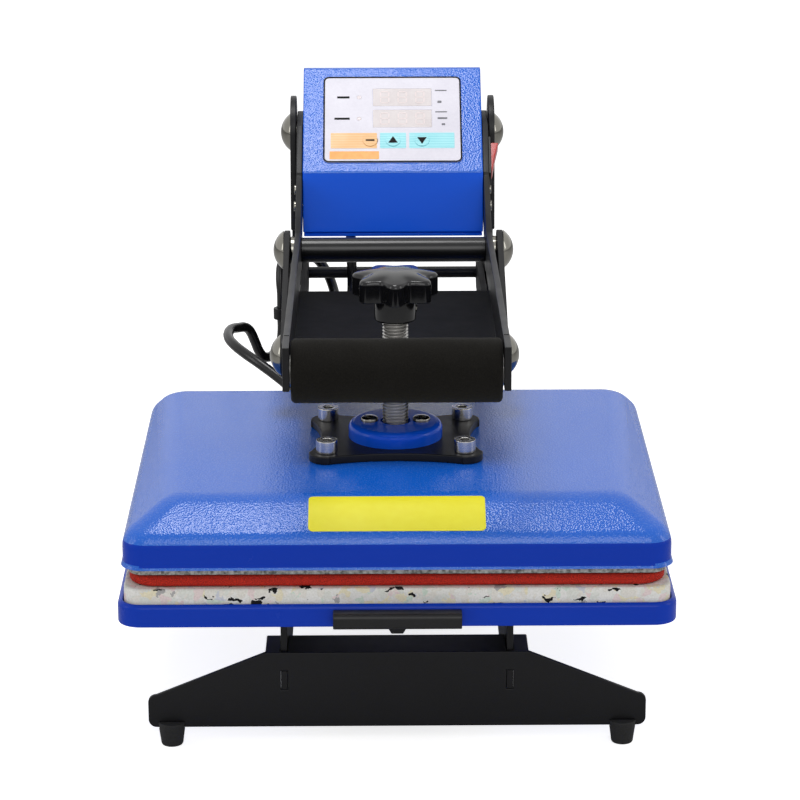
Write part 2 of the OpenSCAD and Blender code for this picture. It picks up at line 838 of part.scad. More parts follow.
// Collar that holds the foot of the pressure screw down to the bracket
module thrust_collar() {
    edge_r = 2.5;
    color("#1d49a5") seat() translate([0, 0, collar_z]) difference() {
        union() {
            cylinder(d = collar_d, h = collar_h - edge_r);
            cylinder(d = collar_d - 2 * edge_r, h = collar_h);
            translate([0, 0, collar_h - edge_r])
                rotate_extrude() translate([collar_d / 2 - edge_r, 0]) circle(edge_r);
        }
        translate([0, 0, -1]) cylinder(d = screw_d + 2 * run_gap, h = 2 * collar_h);
        translate([0, 0, -1]) cylinder(d = thrust_d, h = thrust_h + 2 * move_gap + 1);
    }
}

// Cap screws with hexagon sockets
module cap_screws() {
    head_d = 1.625 * cap_screw_d;
    color("#2c2c2e") seat() for (x = [-1, 1], y = [-1, 1]) {
        translate([x * bolt_x / 2, y * bolt_y / 2, collar_z]) difference() {
            union() {
                cylinder(d = head_d, h = cap_screw_d);
                translate([0, 0, -bracket_t - cover_t - 12])
                    cylinder(d = cap_screw_d, h = bracket_t + cover_t + 13);
            }
            translate([0, 0, cap_screw_d / 2]) cylinder(d = 0.87 * cap_screw_d, h = cap_screw_d, $fn = 6);
        }
    }
}

// Pan-head screws on the collar
module collar_screws() {
    pan_d = 8;
    pan_h = 2.6;
    color("#b9babc") seat() for (x = [-1, 1]) {
        translate([x * (collar_d / 4 + 1.5), 0, collar_top_z]) intersection() {
            cylinder(d = pan_d, h = pan_h);
            translate([0, 0, pan_h - 6]) sphere(6);
        }
    }
}

// Gland where the heater lead enters the platen
module platen_gland() {
    color("#202022") seat() translate(platen_gland_p) rotate([-90, 0, 0]) {
        translate([0, 0, lip_out + fit_gap]) cylinder(d = gland_d, h = 5);
        translate([0, 0, -cover_t - 1]) cylinder(d = gland_d - 5, h = cover_t + 6);
        translate([0, 0, 5]) cylinder(d = gland_d - 3, h = gland_h - 5);
    }
}

// Pressure screw with a round foot that turns inside the collar
module pressure_screw() {
    foot_z = collar_z + move_gap;
    color("#b4b6b8") seat() {
        translate([0, 0, foot_z]) cylinder(d = screw_d, h = knob_z + knob_h / 2 - foot_z);
        translate([0, 0, foot_z]) cylinder(d = thrust_d - 2 * move_gap, h = thrust_h);
    }
}

// Star knob: lobes cut into a round body with a crowned top, on a plain hub
module star_knob() {
    scallop_r = 8;
    dome_r = 1.3 * knob_d;
    bore_h = hub_h + knob_h / 2 + fit_gap;
    color("#161618") seat() difference() {
        rotate([0, 0, 90]) difference() {
            union() {
                translate([0, 0, hub_z]) cylinder(d = hub_d, h = hub_h + 1);
                intersection() {
                    translate([0, 0, knob_z]) cylinder(d = knob_d, h = knob_h);
                    translate([0, 0, knob_z + knob_h - dome_r]) sphere(dome_r);
                }
            }
            for (i = [0 : knob_lobes - 1]) {
                rotate([0, 0, 360 * i / knob_lobes + 12])
                    translate([knob_d / 2 + scallop_r * 0.55, 0, knob_z - 1])
                        cylinder(r = scallop_r, h = 2 * knob_h);
            }
            translate([0, 0, hub_z - 1]) cylinder(d = screw_d + 2 * fit_gap, h = bore_h + 1);
        }
        translate([screw_d / 4, 0, hub_z + hub_h / 2]) rotate([0, 90, 0])
            cylinder(d = set_screw_d + 2 * fit_gap, h = hub_d);
    }
}

// Grub screw that locks the knob to the pressure screw
module set_screw() {
    tip_x = screw_d / 2 + 2 * fit_gap;
    color("#c8c9ca") seat() translate([tip_x, 0, hub_z + hub_h / 2]) rotate([0, 90, 0])
        cylinder(d = set_screw_d, h = hub_d / 2 - tip_x + 0.8);
}

// Side of the lever: a cheek beside the control box and a long bar to the grip
module lever_outline() {
    cheek = inset(box_outline, cheek_inset);
    difference() {
        union() {
            strip(top_p, mid_p, lever_head_r);
            strip(mid_p, front_p + [lever_half, 0], lever_half);
            translate(front_p + [0, -lever_half]) square([2 * lever_half, 2 * lever_half]);
            polygon([
                cheek[0], top_p, [top_y, top_z + lever_head_r],
                cheek[4] + cheek_len * panel_run / panel_len, cheek[4]
            ]);
        }
        translate(top_p) circle(d = pivot_d + 2 * run_gap);
        translate(mid_p) circle(d = pivot_d + 2 * fit_gap);
        for (p = box_screw_p) {
            translate(p) circle(d = 4 + 2 * fit_gap);
        }
    }
}

module left_lever_plate() {
    color("#1e1e20") seat() handed(-1) sheet_x(lever_x, link_t) lever_outline();
}

// The right plate is also cut out for the switch
module right_lever_plate() {
    color("#1e1e20") seat() difference() {
        sheet_x(lever_x, link_t) lever_outline();
        switch_place(lever_x - 1) translate([0, 0, link_t / 2 + 0.5])
            cube([bezel_w - 3, bezel_h - 4, link_t + 3], center = true);
    }
}

// Steel tube inside the grip, fixed between the lever plates
module grip_tube() {
    tube_wall = 2;
    color("#77797c") seat() difference() {
        rod_x(grip_p, grip_tube_d, -lever_x, lever_x);
        rod_x(grip_p, grip_tube_d - 2 * tube_wall, -lever_x - 1, lever_x + 1);
    }
}

// Foam sleeve with rounded ends
module foam_grip() {
    end_r = 6;
    grip_half = lever_x - move_gap;
    color("#23211f") seat() difference() {
        union() {
            rod_x(grip_p, grip_d, -grip_half + end_r, grip_half - end_r);
            rod_x(grip_p, grip_d - 2 * end_r, -grip_half, grip_half);
            for (x = [-1, 1]) {
                translate([x * (grip_half - end_r), grip_p.x, grip_p.y]) rotate([0, 90, 0])
                    rotate_extrude() translate([grip_d / 2 - end_r, 0]) circle(end_r);
            }
        }
        rod_x(grip_p, grip_tube_d + 2 * fit_gap, -lever_x, lever_x);
    }
}

// Spacer tube between the lever plates at the link pivot
module spacer_tube() {
    color("#19191b") seat() difference() {
        rod_x(mid_p, spacer_d, -lever_x, lever_x);
        rod_x(mid_p, pivot_d + 2 * fit_gap, -lever_x - 1, lever_x + 1);
    }
}

// Bolts through the lever plates that the links turn on, with spacing washers
module mid_pivot_bolts() {
    color("#2a2a2c") seat() for (side = [-1, 1]) {
        handed(side) {
            dome_head(mid_p, link_out + move_gap);
            rod_x(mid_p, pivot_d, lever_x - 20, link_out + move_gap + 1);
            difference() {
                rod_x(mid_p, bush_d, lever_out, link_x - move_gap);
                rod_x(mid_p, pivot_d - 0.5, 0, link_out);
            }
        }
    }
}

// Folded control box, open at the back
module control_box() {
    inner = inset(box_outline, box_wall);
    color("#1d49a5") seat() difference() {
        sheet_x(-box_x, 2 * box_x) polygon(box_outline);
        sheet_x(-box_x + box_wall, 2 * (box_x - box_wall))
            polygon([
                inner[0], [box_back_y + 1, inner[1].y], [box_back_y + 1, inner[2].y], inner[3], inner[4]
            ]);
        on_panel() {
            for (u = window_u) {
                translate([window_x, u, 0]) cube([window_w - 2, window_h - 2, 4 * box_wall], center = true);
                translate([lamp_x, u, -2 * box_wall]) cylinder(d = lamp_d + 2 * fit_gap, h = 4 * box_wall);
            }
            for (x = key_x) {
                translate([x, key_u, -2 * box_wall]) cylinder(d = key_d + 2 * move_gap, h = 4 * box_wall);
            }
        }
        for (p = box_screw_p, side = [-1, 1]) {
            handed(side) rod_x(p, box_screw_d + 2 * fit_gap, box_x - box_wall - 1, box_x + 1);
        }
        switch_place(box_x - box_wall - 1) cube([bezel_w - 3, bezel_h - 4, 4 * box_wall], center = true);
        translate(gland_p - [0, 0, 5]) cylinder(d = gland_d - 5 + 2 * fit_gap, h = 20);
    }
}

// Flat back of the control box
module box_back() {
    color("#1a3f92") seat() {
        translate([-box_x, box_back_y + fit_gap / 2, box_front_low.y])
            cube([2 * box_x, box_wall, box_panel_top.y - box_front_low.y]);
    }
}

// Printed overlay with openings for the windows, lamps and keys
module panel_overlay() {
    color("#eef0f0") seat() on_panel() linear_extrude(overlay_t) difference() {
        round_rect(overlay_w, overlay_h, 4);
        for (u = window_u) {
            translate([window_x, u]) square([window_w + 2 * fit_gap, window_h + 2 * fit_gap], center = true);
            translate([lamp_x, u]) circle(d = lamp_d + 2 * fit_gap);
        }
        for (x = key_x) {
            translate([x, key_u]) circle(d = key_d + 2 * move_gap);
        }
    }
}

// Windows over the two displays
module display_windows() {
    color("#d9cfd2") seat() on_panel() for (u = window_u) {
        translate([window_x - window_w / 2, u - window_h / 2, 0]) cube([window_w, window_h, overlay_t]);
    }
}

// Two lamps that stand on the board
module indicator_lamps() {
    color("#c9352c") seat() on_panel() for (u = window_u) {
        translate([lamp_x, u, board_n]) cylinder(d = lamp_d, h = overlay_t - board_n);
    }
}

// Board with the display blocks, key switches and its four posts
module circuit_board() {
    switch_h = -board_n - key_deep - key_travel - move_gap;
    color("#2f6b3a") seat() on_panel() {
        difference() {
            union() {
                translate([-board_w / 2, -board_h / 2, board_n - board_t]) cube([board_w, board_h, board_t]);
                for (u = window_u) {
                    translate([window_x - window_w / 2 + 2, u - window_h / 2 + 2, board_n])
                        cube([window_w - 4, window_h - 4, -board_n - move_gap]);
                }
                for (x = key_x) {
                    translate([x, key_u, board_n]) cylinder(d = 6, h = switch_h);
                }
            }
            for (u = window_u) {
                translate([lamp_x, u, board_n - 2 * board_t]) cylinder(d = 1, h = 3 * board_t);
            }
        }
        for (x = [-1, 1], y = [-1, 1]) {
            translate([x * (board_w / 2 - 5), y * (board_h / 2 - 4), board_n])
                cylinder(d = board_post_d, h = -board_n - box_wall);
        }
    }
}

// Screws that hold the box between the lever plates
module box_screws() {
    head_h = 2;
    color("#c4c5c6") seat() for (p = box_screw_p, side = [-1, 1]) {
        handed(side) {
            rod_x(p, box_screw_head_d, lever_out, lever_out + head_h);
            rod_x(p, box_screw_d, box_x - box_wall - 2, lever_out + 1);
        }
    }
}

// Children placed at the switch on the right side, at x: Y runs up beside the panel and Z out of the side
module switch_place(x) {
    translate([x, switch_p.x, switch_p.y]) rotate([90, 0, 90]) rotate([0, 0, panel_tilt - 90]) children();
}

// Bezel and body of the mains switch
module switch_bezel() {
    color("#17171a") seat() switch_place(lever_out) difference() {
        union() {
            translate([0, 0, bezel_t / 2]) cube([bezel_w, bezel_h, bezel_t], center = true);
            translate([0, 0, -switch_deep / 2 + 0.5])
                cube([bezel_w - 3 - 2 * fit_gap, bezel_h - 4 - 2 * fit_gap, switch_deep], center = true);
        }
        translate([0, 0, 4 - 3.5]) cube([rocker_w + 2 * fit_gap, rocker_h + 2 * move_gap, 8], center = true);
    }
}

// Rocker of the mains switch, a shallow V that tips about the barrel at its middle
module rocker() {
    tip = rocker_h / 2 - 1.2;
    tip_out = bezel_t + 5.2;
    mid_out = bezel_t + 2.6;
    low_out = bezel_t + 0.6;
    barrel_r = 2.4;
    color("#d0271f") seat() switch_place(lever_out) translate([-rocker_w / 2 + fit_gap, 0, 0])
        rotate([90, 0, 90]) linear_extrude(rocker_w - 2 * fit_gap) union() {
            polygon([[tip, 0.2], [tip, tip_out], [0, mid_out], [-tip, low_out], [-tip, 0.2]]);
            circle(barrel_r);
        }
}

// Gland where the heater lead leaves the box
module box_gland() {
    color("#202022") seat() translate(gland_p) mirror([0, 0, 1]) {
        cylinder(d = gland_d, h = 5);
        translate([0, 0, -box_wall - 3]) cylinder(d = gland_d - 5, h = box_wall + 4);
        translate([0, 0, 5]) cylinder(d = gland_d - 3, h = gland_h - 5);
    }
}

// Round key that stands a little proud of the overlay
module key(i) {
    seat() on_panel() translate([key_x[i], key_u, -key_deep]) cylinder(d = key_d, h = key_deep + key_up_h);
}

module key_set() {
    color("#e8862c") key(0);
}

module key_up() {
    color("#7fd0dc") key(1);
}

module key_down() {
    color("#7fd0dc") key(2);
}

// Link from the lever down to the arm
module link(side) {
    seat() handed(side) sheet_x(link_x, link_t) difference() {
        strip(mid_p, low_p, lever_half);
        translate(mid_p) circle(d = pivot_d + 2 * run_gap);
        translate(low_p) circle(d = pivot_d + 2 * fit_gap);
    }
}

module left_link() {
    color("#1e1e20") link(-1);
}

module right_link() {
    color("#1e1e20") link(1);
}

// Bolts at the lower ends of the links
module low_pivot_bolts() {
    color("#2a2a2c") seat() for (side = [-1, 1]) {
        handed(side) {
            dome_head(low_p, link_out);
            rod_x(low_p, pivot_d, link_x, link_out + 1);
        }
    }
}

// Heater lead from the box down and round the side plate to its clip
module heater_lead_upper() {
    color("#1b1b1b") seat() lead(upper_route, lead_d);
}

// Heater lead from the clip in a loose loop to the platen
module heater_lead_lower() {
    color("#1b1b1b") seat() lead(lower_route, lead_d);
}

left_base_plate();
right_base_plate();
front_foot();
rear_foot();
rubber_feet();
left_bed_rail();
right_bed_rail();
arm_pivot_shaft();
top_pivot_bolts();
lead_clip();
lower_tray();
rebond_pad();
silicone_pad();
drawer_pull();
drawer_catch();
bed_runners();
arm();
pressure_nut();
platen_cover();
heating_plate();
heating_element();
insulation();
platen_posts();
bracket_plate();
thrust_collar();
cap_screws();
collar_screws();
platen_gland();
pressure_screw();
star_knob();
set_screw();
left_lever_plate();
right_lever_plate();
grip_tube();
foam_grip();
spacer_tube();
mid_pivot_bolts();
control_box();
box_back();
panel_overlay();
display_windows();
indicator_lamps();
circuit_board();
box_screws();
switch_bezel();
box_gland();
rocker();
key_set();
key_up();
key_down();
left_link();
right_link();
low_pivot_bolts();
heater_lead_upper();
heater_lead_lower();
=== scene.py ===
import math

import bpy
from mathutils import Matrix, Vector


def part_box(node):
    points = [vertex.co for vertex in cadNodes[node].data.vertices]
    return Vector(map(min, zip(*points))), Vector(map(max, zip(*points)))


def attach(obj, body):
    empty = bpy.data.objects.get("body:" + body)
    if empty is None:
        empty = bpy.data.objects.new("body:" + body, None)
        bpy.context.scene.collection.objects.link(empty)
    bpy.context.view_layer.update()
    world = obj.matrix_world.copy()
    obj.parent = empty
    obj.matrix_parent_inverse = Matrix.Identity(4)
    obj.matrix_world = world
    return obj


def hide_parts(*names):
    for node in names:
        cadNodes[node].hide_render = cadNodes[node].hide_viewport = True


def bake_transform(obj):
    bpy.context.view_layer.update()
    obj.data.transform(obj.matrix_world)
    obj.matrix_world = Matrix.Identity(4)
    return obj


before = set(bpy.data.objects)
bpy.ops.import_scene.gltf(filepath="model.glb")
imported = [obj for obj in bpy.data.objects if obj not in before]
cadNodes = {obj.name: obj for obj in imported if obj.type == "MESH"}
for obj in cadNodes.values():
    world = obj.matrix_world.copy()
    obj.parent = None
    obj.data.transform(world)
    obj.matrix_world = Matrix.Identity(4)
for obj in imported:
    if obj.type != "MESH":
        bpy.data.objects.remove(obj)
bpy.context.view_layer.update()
screwY = -0.0835  # the pressure screw's axis in the row frame
hair = 0.00001  # heights closer than this are the same
weld = 0.000005  # corners closer than this are merged
topFacing = 0.9  # a normal that rises more than this is a top face's
softBelow = {"sheet": 40, "moulded": 50, "thread": 28}  # degrees between faces that shade as one
print("frame loaded:", len(cadNodes), "nodes")


# small tools for working as by hand

def clearSelection():
    if bpy.context.object and bpy.context.object.mode != "OBJECT":
        bpy.ops.object.mode_set(mode="OBJECT")
    bpy.ops.object.select_all(action="DESELECT")


def makeActive(piece):
    clearSelection()
    piece.select_set(True)
    bpy.context.view_layer.objects.active = piece


def named(name):
    piece = bpy.context.object
    piece.name = name
    piece.data.name = name
    return piece


def settle(piece):  # puts the piece's place, turn and scale into its mesh
    makeActive(piece)
    bpy.ops.object.transform_apply(location=True, rotation=True, scale=True)


def editMode(kind="FACE"):
    bpy.ops.object.mode_set(mode="EDIT")
    bpy.ops.mesh.select_mode(type=kind)


def objectMode():
    bpy.ops.object.mode_set(mode="OBJECT")


def pickFaces(test):
    editMode("FACE")
    bpy.ops.mesh.select_all(action="DESELECT")
    objectMode()
    for face in bpy.context.object.data.polygons:
        face.select = test(face)
    editMode("FACE")


def pickEdges(test):
    editMode("EDGE")
    bpy.ops.mesh.select_all(action="DESELECT")
    objectMode()
    mesh = bpy.context.object.data
    for edge in mesh.edges:
        edge.select = test(*[mesh.vertices[i].co for i in edge.vertices])
    editMode("EDGE")


def level(a, b):
    return abs(a.z - b.z) < hair


def atLevel(height):
    return lambda a, b: abs(a.z - height) < hair and abs(b.z - height) < hair


def bevelEdges(test, radius, segments, **settings):
    pickEdges(test)
    bpy.ops.mesh.bevel(offset=radius, segments=segments, affect="EDGES", **settings)
    objectMode()


def roundCorners(radius, segments):  # of a flat sheet, which stays in edit mode
    editMode("VERT")
    bpy.ops.mesh.select_all(action="SELECT")
    bpy.ops.mesh.bevel(offset=radius, segments=segments, affect="VERTICES")


def extrudeUp(height):
    bpy.ops.mesh.extrude_region_move(TRANSFORM_OT_translate={"value": (0, 0, height)})


def recalculate():
    editMode("FACE")
    bpy.ops.mesh.select_all(action="SELECT")
    bpy.ops.mesh.remove_doubles(threshold=weld)
    bpy.ops.mesh.normals_make_consistent(inside=False)
    objectMode()


def applyModifier(piece, kind, **settings):
    makeActive(piece)
    modifier = piece.modifiers.new(kind.lower(), kind)
    for key, value in settings.items():
        setattr(modifier, key, value)
    bpy.ops.object.modifier_apply(modifier=modifier.name)


def smoothByAngle(piece, degrees):
    makeActive(piece)
    bpy.ops.object.shade_smooth_by_angle(angle=math.radians(degrees))


def paintFaces(piece, material, test):  # a second material on the faces that pass the test
    piece.data.materials.append(material)
    for face in piece.data.polygons:
        if test(face):
            face.material_index = len(piece.data.materials) - 1


def joinPieces(pieces, name):
    clearSelection()
    for piece in pieces:
        piece.select_set(True)
    bpy.context.view_layer.objects.active = pieces[0]
    bpy.ops.object.join()
    return named(name)


def dress(piece, material):
    piece.data.materials.clear()
    piece.data.materials.append(material)


def addCube(width, depth, height, place):
    clearSelection()
    bpy.ops.mesh.primitive_cube_add(size=1, location=place)
    piece = bpy.context.object
    piece.scale = (width, depth, height)
    settle(piece)
    return piece


def addRod(radius, length, place, turn=(0, 0, 0), vertices=48):
    clearSelection()
    bpy.ops.mesh.primitive_cylinder_add(
        vertices=vertices, radius=radius, depth=length, location=place, rotation=turn)
    piece = bpy.context.object
    settle(piece)
    return piece


def addSheet(name, width, depth, place=(0, 0, 0)):
    clearSelection()
    bpy.ops.mesh.primitive_plane_add(size=1, location=place)
    piece = named(name)
    piece.scale = (width, depth, 1)
    settle(piece)
    return piece


# camera at the photograph's angle

viewpoint = {
    "place": (-0.0113, -1.8825, 0.7457),
    "pitch": 17.23,
    "yaw": 0.45,
    "roll": 0.13,
    "lens": 137.5,
    "sensor": 36,
    "reach": 60,
}
clearSelection()
bpy.ops.object.camera_add(location=viewpoint["place"])
camera = bpy.context.object
camera.name = "photoCamera"
camera.rotation_euler = (math.radians(90 - viewpoint["pitch"]), 0, -math.radians(viewpoint["yaw"]))
camera.rotation_euler.rotate_axis("Z", -math.radians(viewpoint["roll"]))
camera.data.lens = viewpoint["lens"]
camera.data.sensor_width = viewpoint["sensor"]
camera.data.clip_end = viewpoint["reach"]
bpy.context.scene.camera = camera
print("camera placed")


# shader tools

def plug(tree, node, sockets):  # links an output or sets a value on each input that is named
    for key, value in sockets.items():
        socket = node.inputs[key]
        if isinstance(value, bpy.types.NodeSocket):
            tree.links.new(value, socket)
        else:
            socket.default_value = (*value, 1) if socket.type == "RGBA" else value


def addNode(tree, kind, sockets, **settings):
    made = tree.nodes.new("ShaderNode" + kind)
    for key, value in settings.items():
        setattr(made, key, value)
    plug(tree, made, sockets)
    return made


def maths(tree, operation, first, second):
    return addNode(tree, "Math", {0: first, 1: second}, operation=operation).outputs[0]


def remap(tree, value, fromRange, toRange=(0.0, 1.0)):
    ends = zip(("From Min", "From Max", "To Min", "To Max"), (*fromRange, *toRange))
    return addNode(tree, "MapRange", {"Value": value, **dict(ends)}).outputs["Result"]


maskRange = {"grain": (0.35, 0.65), "smudge": (0.3, 0.7), "flakes": (0.16, 0.42)}
uprightBump = 0.02  # what is left of the dimples on upright faces


def newGroup(name, inputs, outputs):
    group = bpy.data.node_groups.new(name, "ShaderNodeTree")
    group.interface.new_socket("Vector", in_out="INPUT", socket_type="NodeSocketVector")
    for label, value in inputs.items():
        socket = group.interface.new_socket(label, in_out="INPUT", socket_type="NodeSocketFloat")
        socket.default_value = value
    for label in outputs:
        group.interface.new_socket(label, in_out="OUTPUT", socket_type="NodeSocketFloat")
    return group, group.nodes.new("NodeGroupInput").outputs, group.nodes.new("NodeGroupOutput")


def buildHammerGroup():  # shallow dimples of hammertone paint
    group, entry, leave = newGroup(
        "hammerCoat", {"Scale": 500.0, "Spread": 0.5}, ("Height", "Tone", "Cell"))
    place = {"Vector": entry["Vector"], "Scale": entry["Scale"]}
    wobble = addNode(group, "TexNoise", {**place, "Detail": 3.0})
    dimples = addNode(group, "TexVoronoi", {**place, "Smoothness": 0.25}, feature="SMOOTH_F1")
    cell = dimples.outputs["Distance"]
    blend = addNode(group, "Mix", {0: entry["Spread"], 2: cell, 3: wobble.outputs["Fac"]},
                    data_type="FLOAT")
    clouds = addNode(group, "TexNoise", {"Vector": entry["Vector"], "Scale": 9.0, "Detail": 4.0})
    plug(group, leave, {"Height": blend.outputs[0], "Tone": clouds.outputs["Fac"], "Cell": cell})
    return group


def buildGrainGroup():  # fine grain of powder coat, moulded plastic, rubber and foam
    group, entry, leave = newGroup(
        "fineGrain", {"Scale": 1200.0, "Detail": 3.0}, ("Height", "Mask"))
    given = {label: entry[label] for label in ("Vector", "Scale", "Detail")}
    height = addNode(group, "TexNoise", given).outputs["Fac"]
    plug(group, leave, {"Height": height, "Mask": remap(group, height, maskRange["grain"])})
    return group


def buildSmudgeGroup():  # slow change of gloss from handling, between two values
    group, entry, leave = newGroup(
        "handlingSmudge", {"Scale": 30.0, "Low": 0.3, "High": 0.5}, ("Roughness",))
    cloud = addNode(group, "TexNoise", {"Vector": entry["Vector"], "Scale": entry["Scale"],
                                        "Detail": 6.0, "Roughness": 0.6})
    ends = (entry["Low"], entry["High"])
    plug(group, leave, {"Roughness": remap(group, cloud.outputs["Fac"], maskRange["smudge"], ends)})
    return group


hammerGroup = buildHammerGroup()
grainGroup = buildGrainGroup()
smudgeGroup = buildSmudgeGroup()
grainDepth = 0.0003  # where a material names no other
smudgeScale = {"paint": 22.0, "grain": 25.0, "steel": 45.0, "print": 60.0, "floor": 1.5}


def useGroup(tree, group, coords, **values):
    return addNode(tree, "Group", {"Vector": coords, **values}, node_tree=group).outputs


def startMaterial(name):
    material = bpy.data.materials.new(name)
    material.use_nodes = True
    tree = material.node_tree
    coords = addNode(tree, "TexCoord", {}).outputs["Object"]
    return material, tree, coords, tree.nodes["Principled BSDF"]


def mixColours(tree, factor, first, second):
    return addNode(tree, "Mix", {0: factor, 6: first, 7: second}, data_type="RGBA").outputs[2]


def addSmudge(tree, shader, coords, kind, gloss, dull):
    smudge = useGroup(tree, smudgeGroup, coords, Scale=smudgeScale[kind], Low=gloss, High=dull)
    plug(tree, shader, {"Roughness": smudge["Roughness"]})


def addBump(tree, shader, height, strength, distance):
    bump = addNode(tree, "Bump", {"Height": height, "Strength": strength, "Distance": distance})
    plug(tree, shader, {"Normal": bump.outputs["Normal"]})


def hammerPaint(name, base, deep, **look):
    material, tree, coords, shader = startMaterial(name)
    hammer = useGroup(tree, hammerGroup, coords, Scale=look["scale"], Spread=look["spread"])
    paint = mixColours(tree, hammer["Tone"], deep, base)
    strength = look["strength"]
    if "flake" in look:  # painted glints: lighter specks in the middles of the dimples, in place of sparkle from the paint's flakes
        glint = remap(tree, hammer["Cell"], maskRange["flakes"], (look["flakeShare"], 0.0))
        paint = mixColours(tree, glint, paint, look["flake"])
    if "upOnly" in look:  # the dimples fade out towards upright faces
        axes = addNode(tree, "SeparateXYZ", {"Vector": coords.node.outputs["Normal"]})
        strength = remap(tree, axes.outputs["Z"], look["upOnly"], (uprightBump, strength))
    plug(tree, shader, {"Base Color": paint, "Specular IOR Level": look["specular"]})
    addSmudge(tree, shader, coords, "paint", look["gloss"], look["dull"])
    addBump(tree, shader, hammer["Height"], strength, look["depth"])
    return material


def grainMaterial(name, base, other, **look):
    material, tree, coords, shader = startMaterial(name)
    grain = useGroup(tree, grainGroup, coords, Scale=look["scale"], Detail=look.get("detail", 3.0))
    plug(tree, shader, {
        "Base Color": mixColours(tree, grain["Mask"], base, other),
        "Specular IOR Level": look.get("specular", 0.5), "Metallic": look.get("metallic", 0.0),
        "Sheen Weight": look.get("sheen", 0.0)})
    if "coat" in look:
        plug(tree, shader, {"Coat Weight": look["coat"], "Coat Roughness": 0.12})
    addSmudge(tree, shader, coords, "grain", look["gloss"], look["dull"])
    addBump(tree, shader, grain["Height"], look["strength"], look.get("depth", grainDepth))
    return material


rebond = {
    "warp": 160.0, "shift": 0.012, "crumbs": 210.0, "flecks": 230.0, "fewer": 0.80,
    "fleckSize": 0.66, "flatten": (0.6, 0.6, 1.5), "lean": (0.1, -0.3, 0.2),
    "dark": (0.012, 0.012, 0.013), "shade": (0.88, 0.88, 0.86),
    "grain": 900.0, "strength": 0.6, "depth": 0.0006,
    "stops": [(0.0, (0.92, 0.89, 0.82)), (0.34, (0.96, 0.95, 0.91)), (0.62, (0.88, 0.89, 0.83)),
              (0.76, (0.94, 0.80, 0.78)), (0.82, (0.95, 0.88, 0.66)), (0.87, (0.76, 0.87, 0.76)),
              (0.92, (0.74, 0.76, 0.83)), (0.97, (0.50, 0.49, 0.49))],
}


def rebondMaterial():  # pale foam crumbs pressed together, with soft patches and thin dark flecks
    material, tree, coords, shader = startMaterial("rebondFoam")
    warp = addNode(tree, "TexNoise", {"Vector": coords, "Scale": rebond["warp"], "Detail": 3.0})
    bend = addNode(tree, "VectorMath", {0: warp.outputs["Color"], "Scale": rebond["shift"]},
                   operation="SCALE")
    moved = addNode(tree, "VectorMath", {0: coords, 1: bend.outputs["Vector"]}, operation="ADD")
    bent = moved.outputs["Vector"]
    crumbs = addNode(tree, "TexVoronoi", {"Vector": bent, "Scale": rebond["crumbs"]})
    channel = addNode(tree, "SeparateColor", {"Color": crumbs.outputs["Color"]})
    tones = addNode(tree, "ValToRGB", {"Fac": channel.outputs["Red"]})
    tones.color_ramp.interpolation = "CONSTANT"
    while len(tones.color_ramp.elements) < len(rebond["stops"]):
        tones.color_ramp.elements.new(0.5)
    for element, (place, colour) in zip(tones.color_ramp.elements, rebond["stops"]):
        element.position = place
        element.color = (*colour, 1)
    flat = addNode(tree, "Mapping", {
        "Vector": bent, "Scale": rebond["flatten"], "Rotation": rebond["lean"]}).outputs["Vector"]
    flecks = addNode(tree, "TexVoronoi", {"Vector": flat, "Scale": rebond["flecks"]}).outputs
    chosen = addNode(tree, "SeparateColor", {"Color": flecks["Color"]}).outputs
    few = maths(tree, "GREATER_THAN", chosen["Green"], rebond["fewer"])
    size = maths(tree, "MULTIPLY", chosen["Blue"], rebond["fleckSize"])
    dark = maths(tree, "MULTIPLY", few, maths(tree, "LESS_THAN", flecks["Distance"], size))
    grain = useGroup(tree, grainGroup, coords, Scale=rebond["grain"], Detail=4.0)
    shaded = mixColours(tree, grain["Mask"], rebond["shade"], (1.0, 1.0, 1.0))
    crumb = addNode(tree, "Mix", {0: 1.0, 6: tones.outputs["Color"], 7: shaded},
                    data_type="RGBA", blend_type="MULTIPLY")
    foam = mixColours(tree, dark, crumb.outputs[2], rebond["dark"])
    plug(tree, shader, {"Base Color": foam, "Roughness": 0.93, "Specular IOR Level": 0.2})
    addBump(tree, shader, grain["Height"], rebond["strength"], rebond["depth"])
    return material


turned = {"shade": 0.72, "strength": 0.15, "depth": 0.0002}


def turnedSteel(name, base, **look):  # fine rings left by turning, with slight stains
    material, tree, coords, shader = startMaterial(name)
    squeeze = addNode(tree, "Mapping", {"Vector": coords, "Scale": look["lines"]})
    rings = {"Vector": squeeze.outputs["Vector"], "Scale": 60.0, "Detail": 3.0}
    lines = addNode(tree, "TexNoise", rings).outputs["Fac"]
    dim = tuple(turned["shade"] * c for c in base)
    plug(tree, shader, {"Base Color": mixColours(tree, lines, dim, base), "Metallic": 1.0})
    addSmudge(tree, shader, coords, "steel", look["gloss"], look["dull"])
    addBump(tree, shader, lines, look.get("strength", turned["strength"]), turned["depth"])
    return material


def stripedPrint(name, base, line):  # printed key blocks have faint level stripes
    material, tree, coords, shader = startMaterial(name)
    turn = addNode(tree, "Mapping", {"Vector": coords, "Rotation": (-panel["tilt"], 0, 0)})
    wave = {"Vector": turn.outputs["Vector"], "Scale": 150.0, "Distortion": 0.4}
    stripes = addNode(tree, "TexWave", wave, wave_type="BANDS", bands_direction="Y")
    plug(tree, shader, {"Base Color": mixColours(tree, stripes.outputs["Fac"], line, base)})
    addSmudge(tree, shader, coords, "print", *panel["keyGloss"])
    return material


panel = {"centre": (0, 0.158, 0.3125), "tilt": math.atan2(57, 67), "film": 0.0006,
         "keyGloss": (0.32, 0.45)}
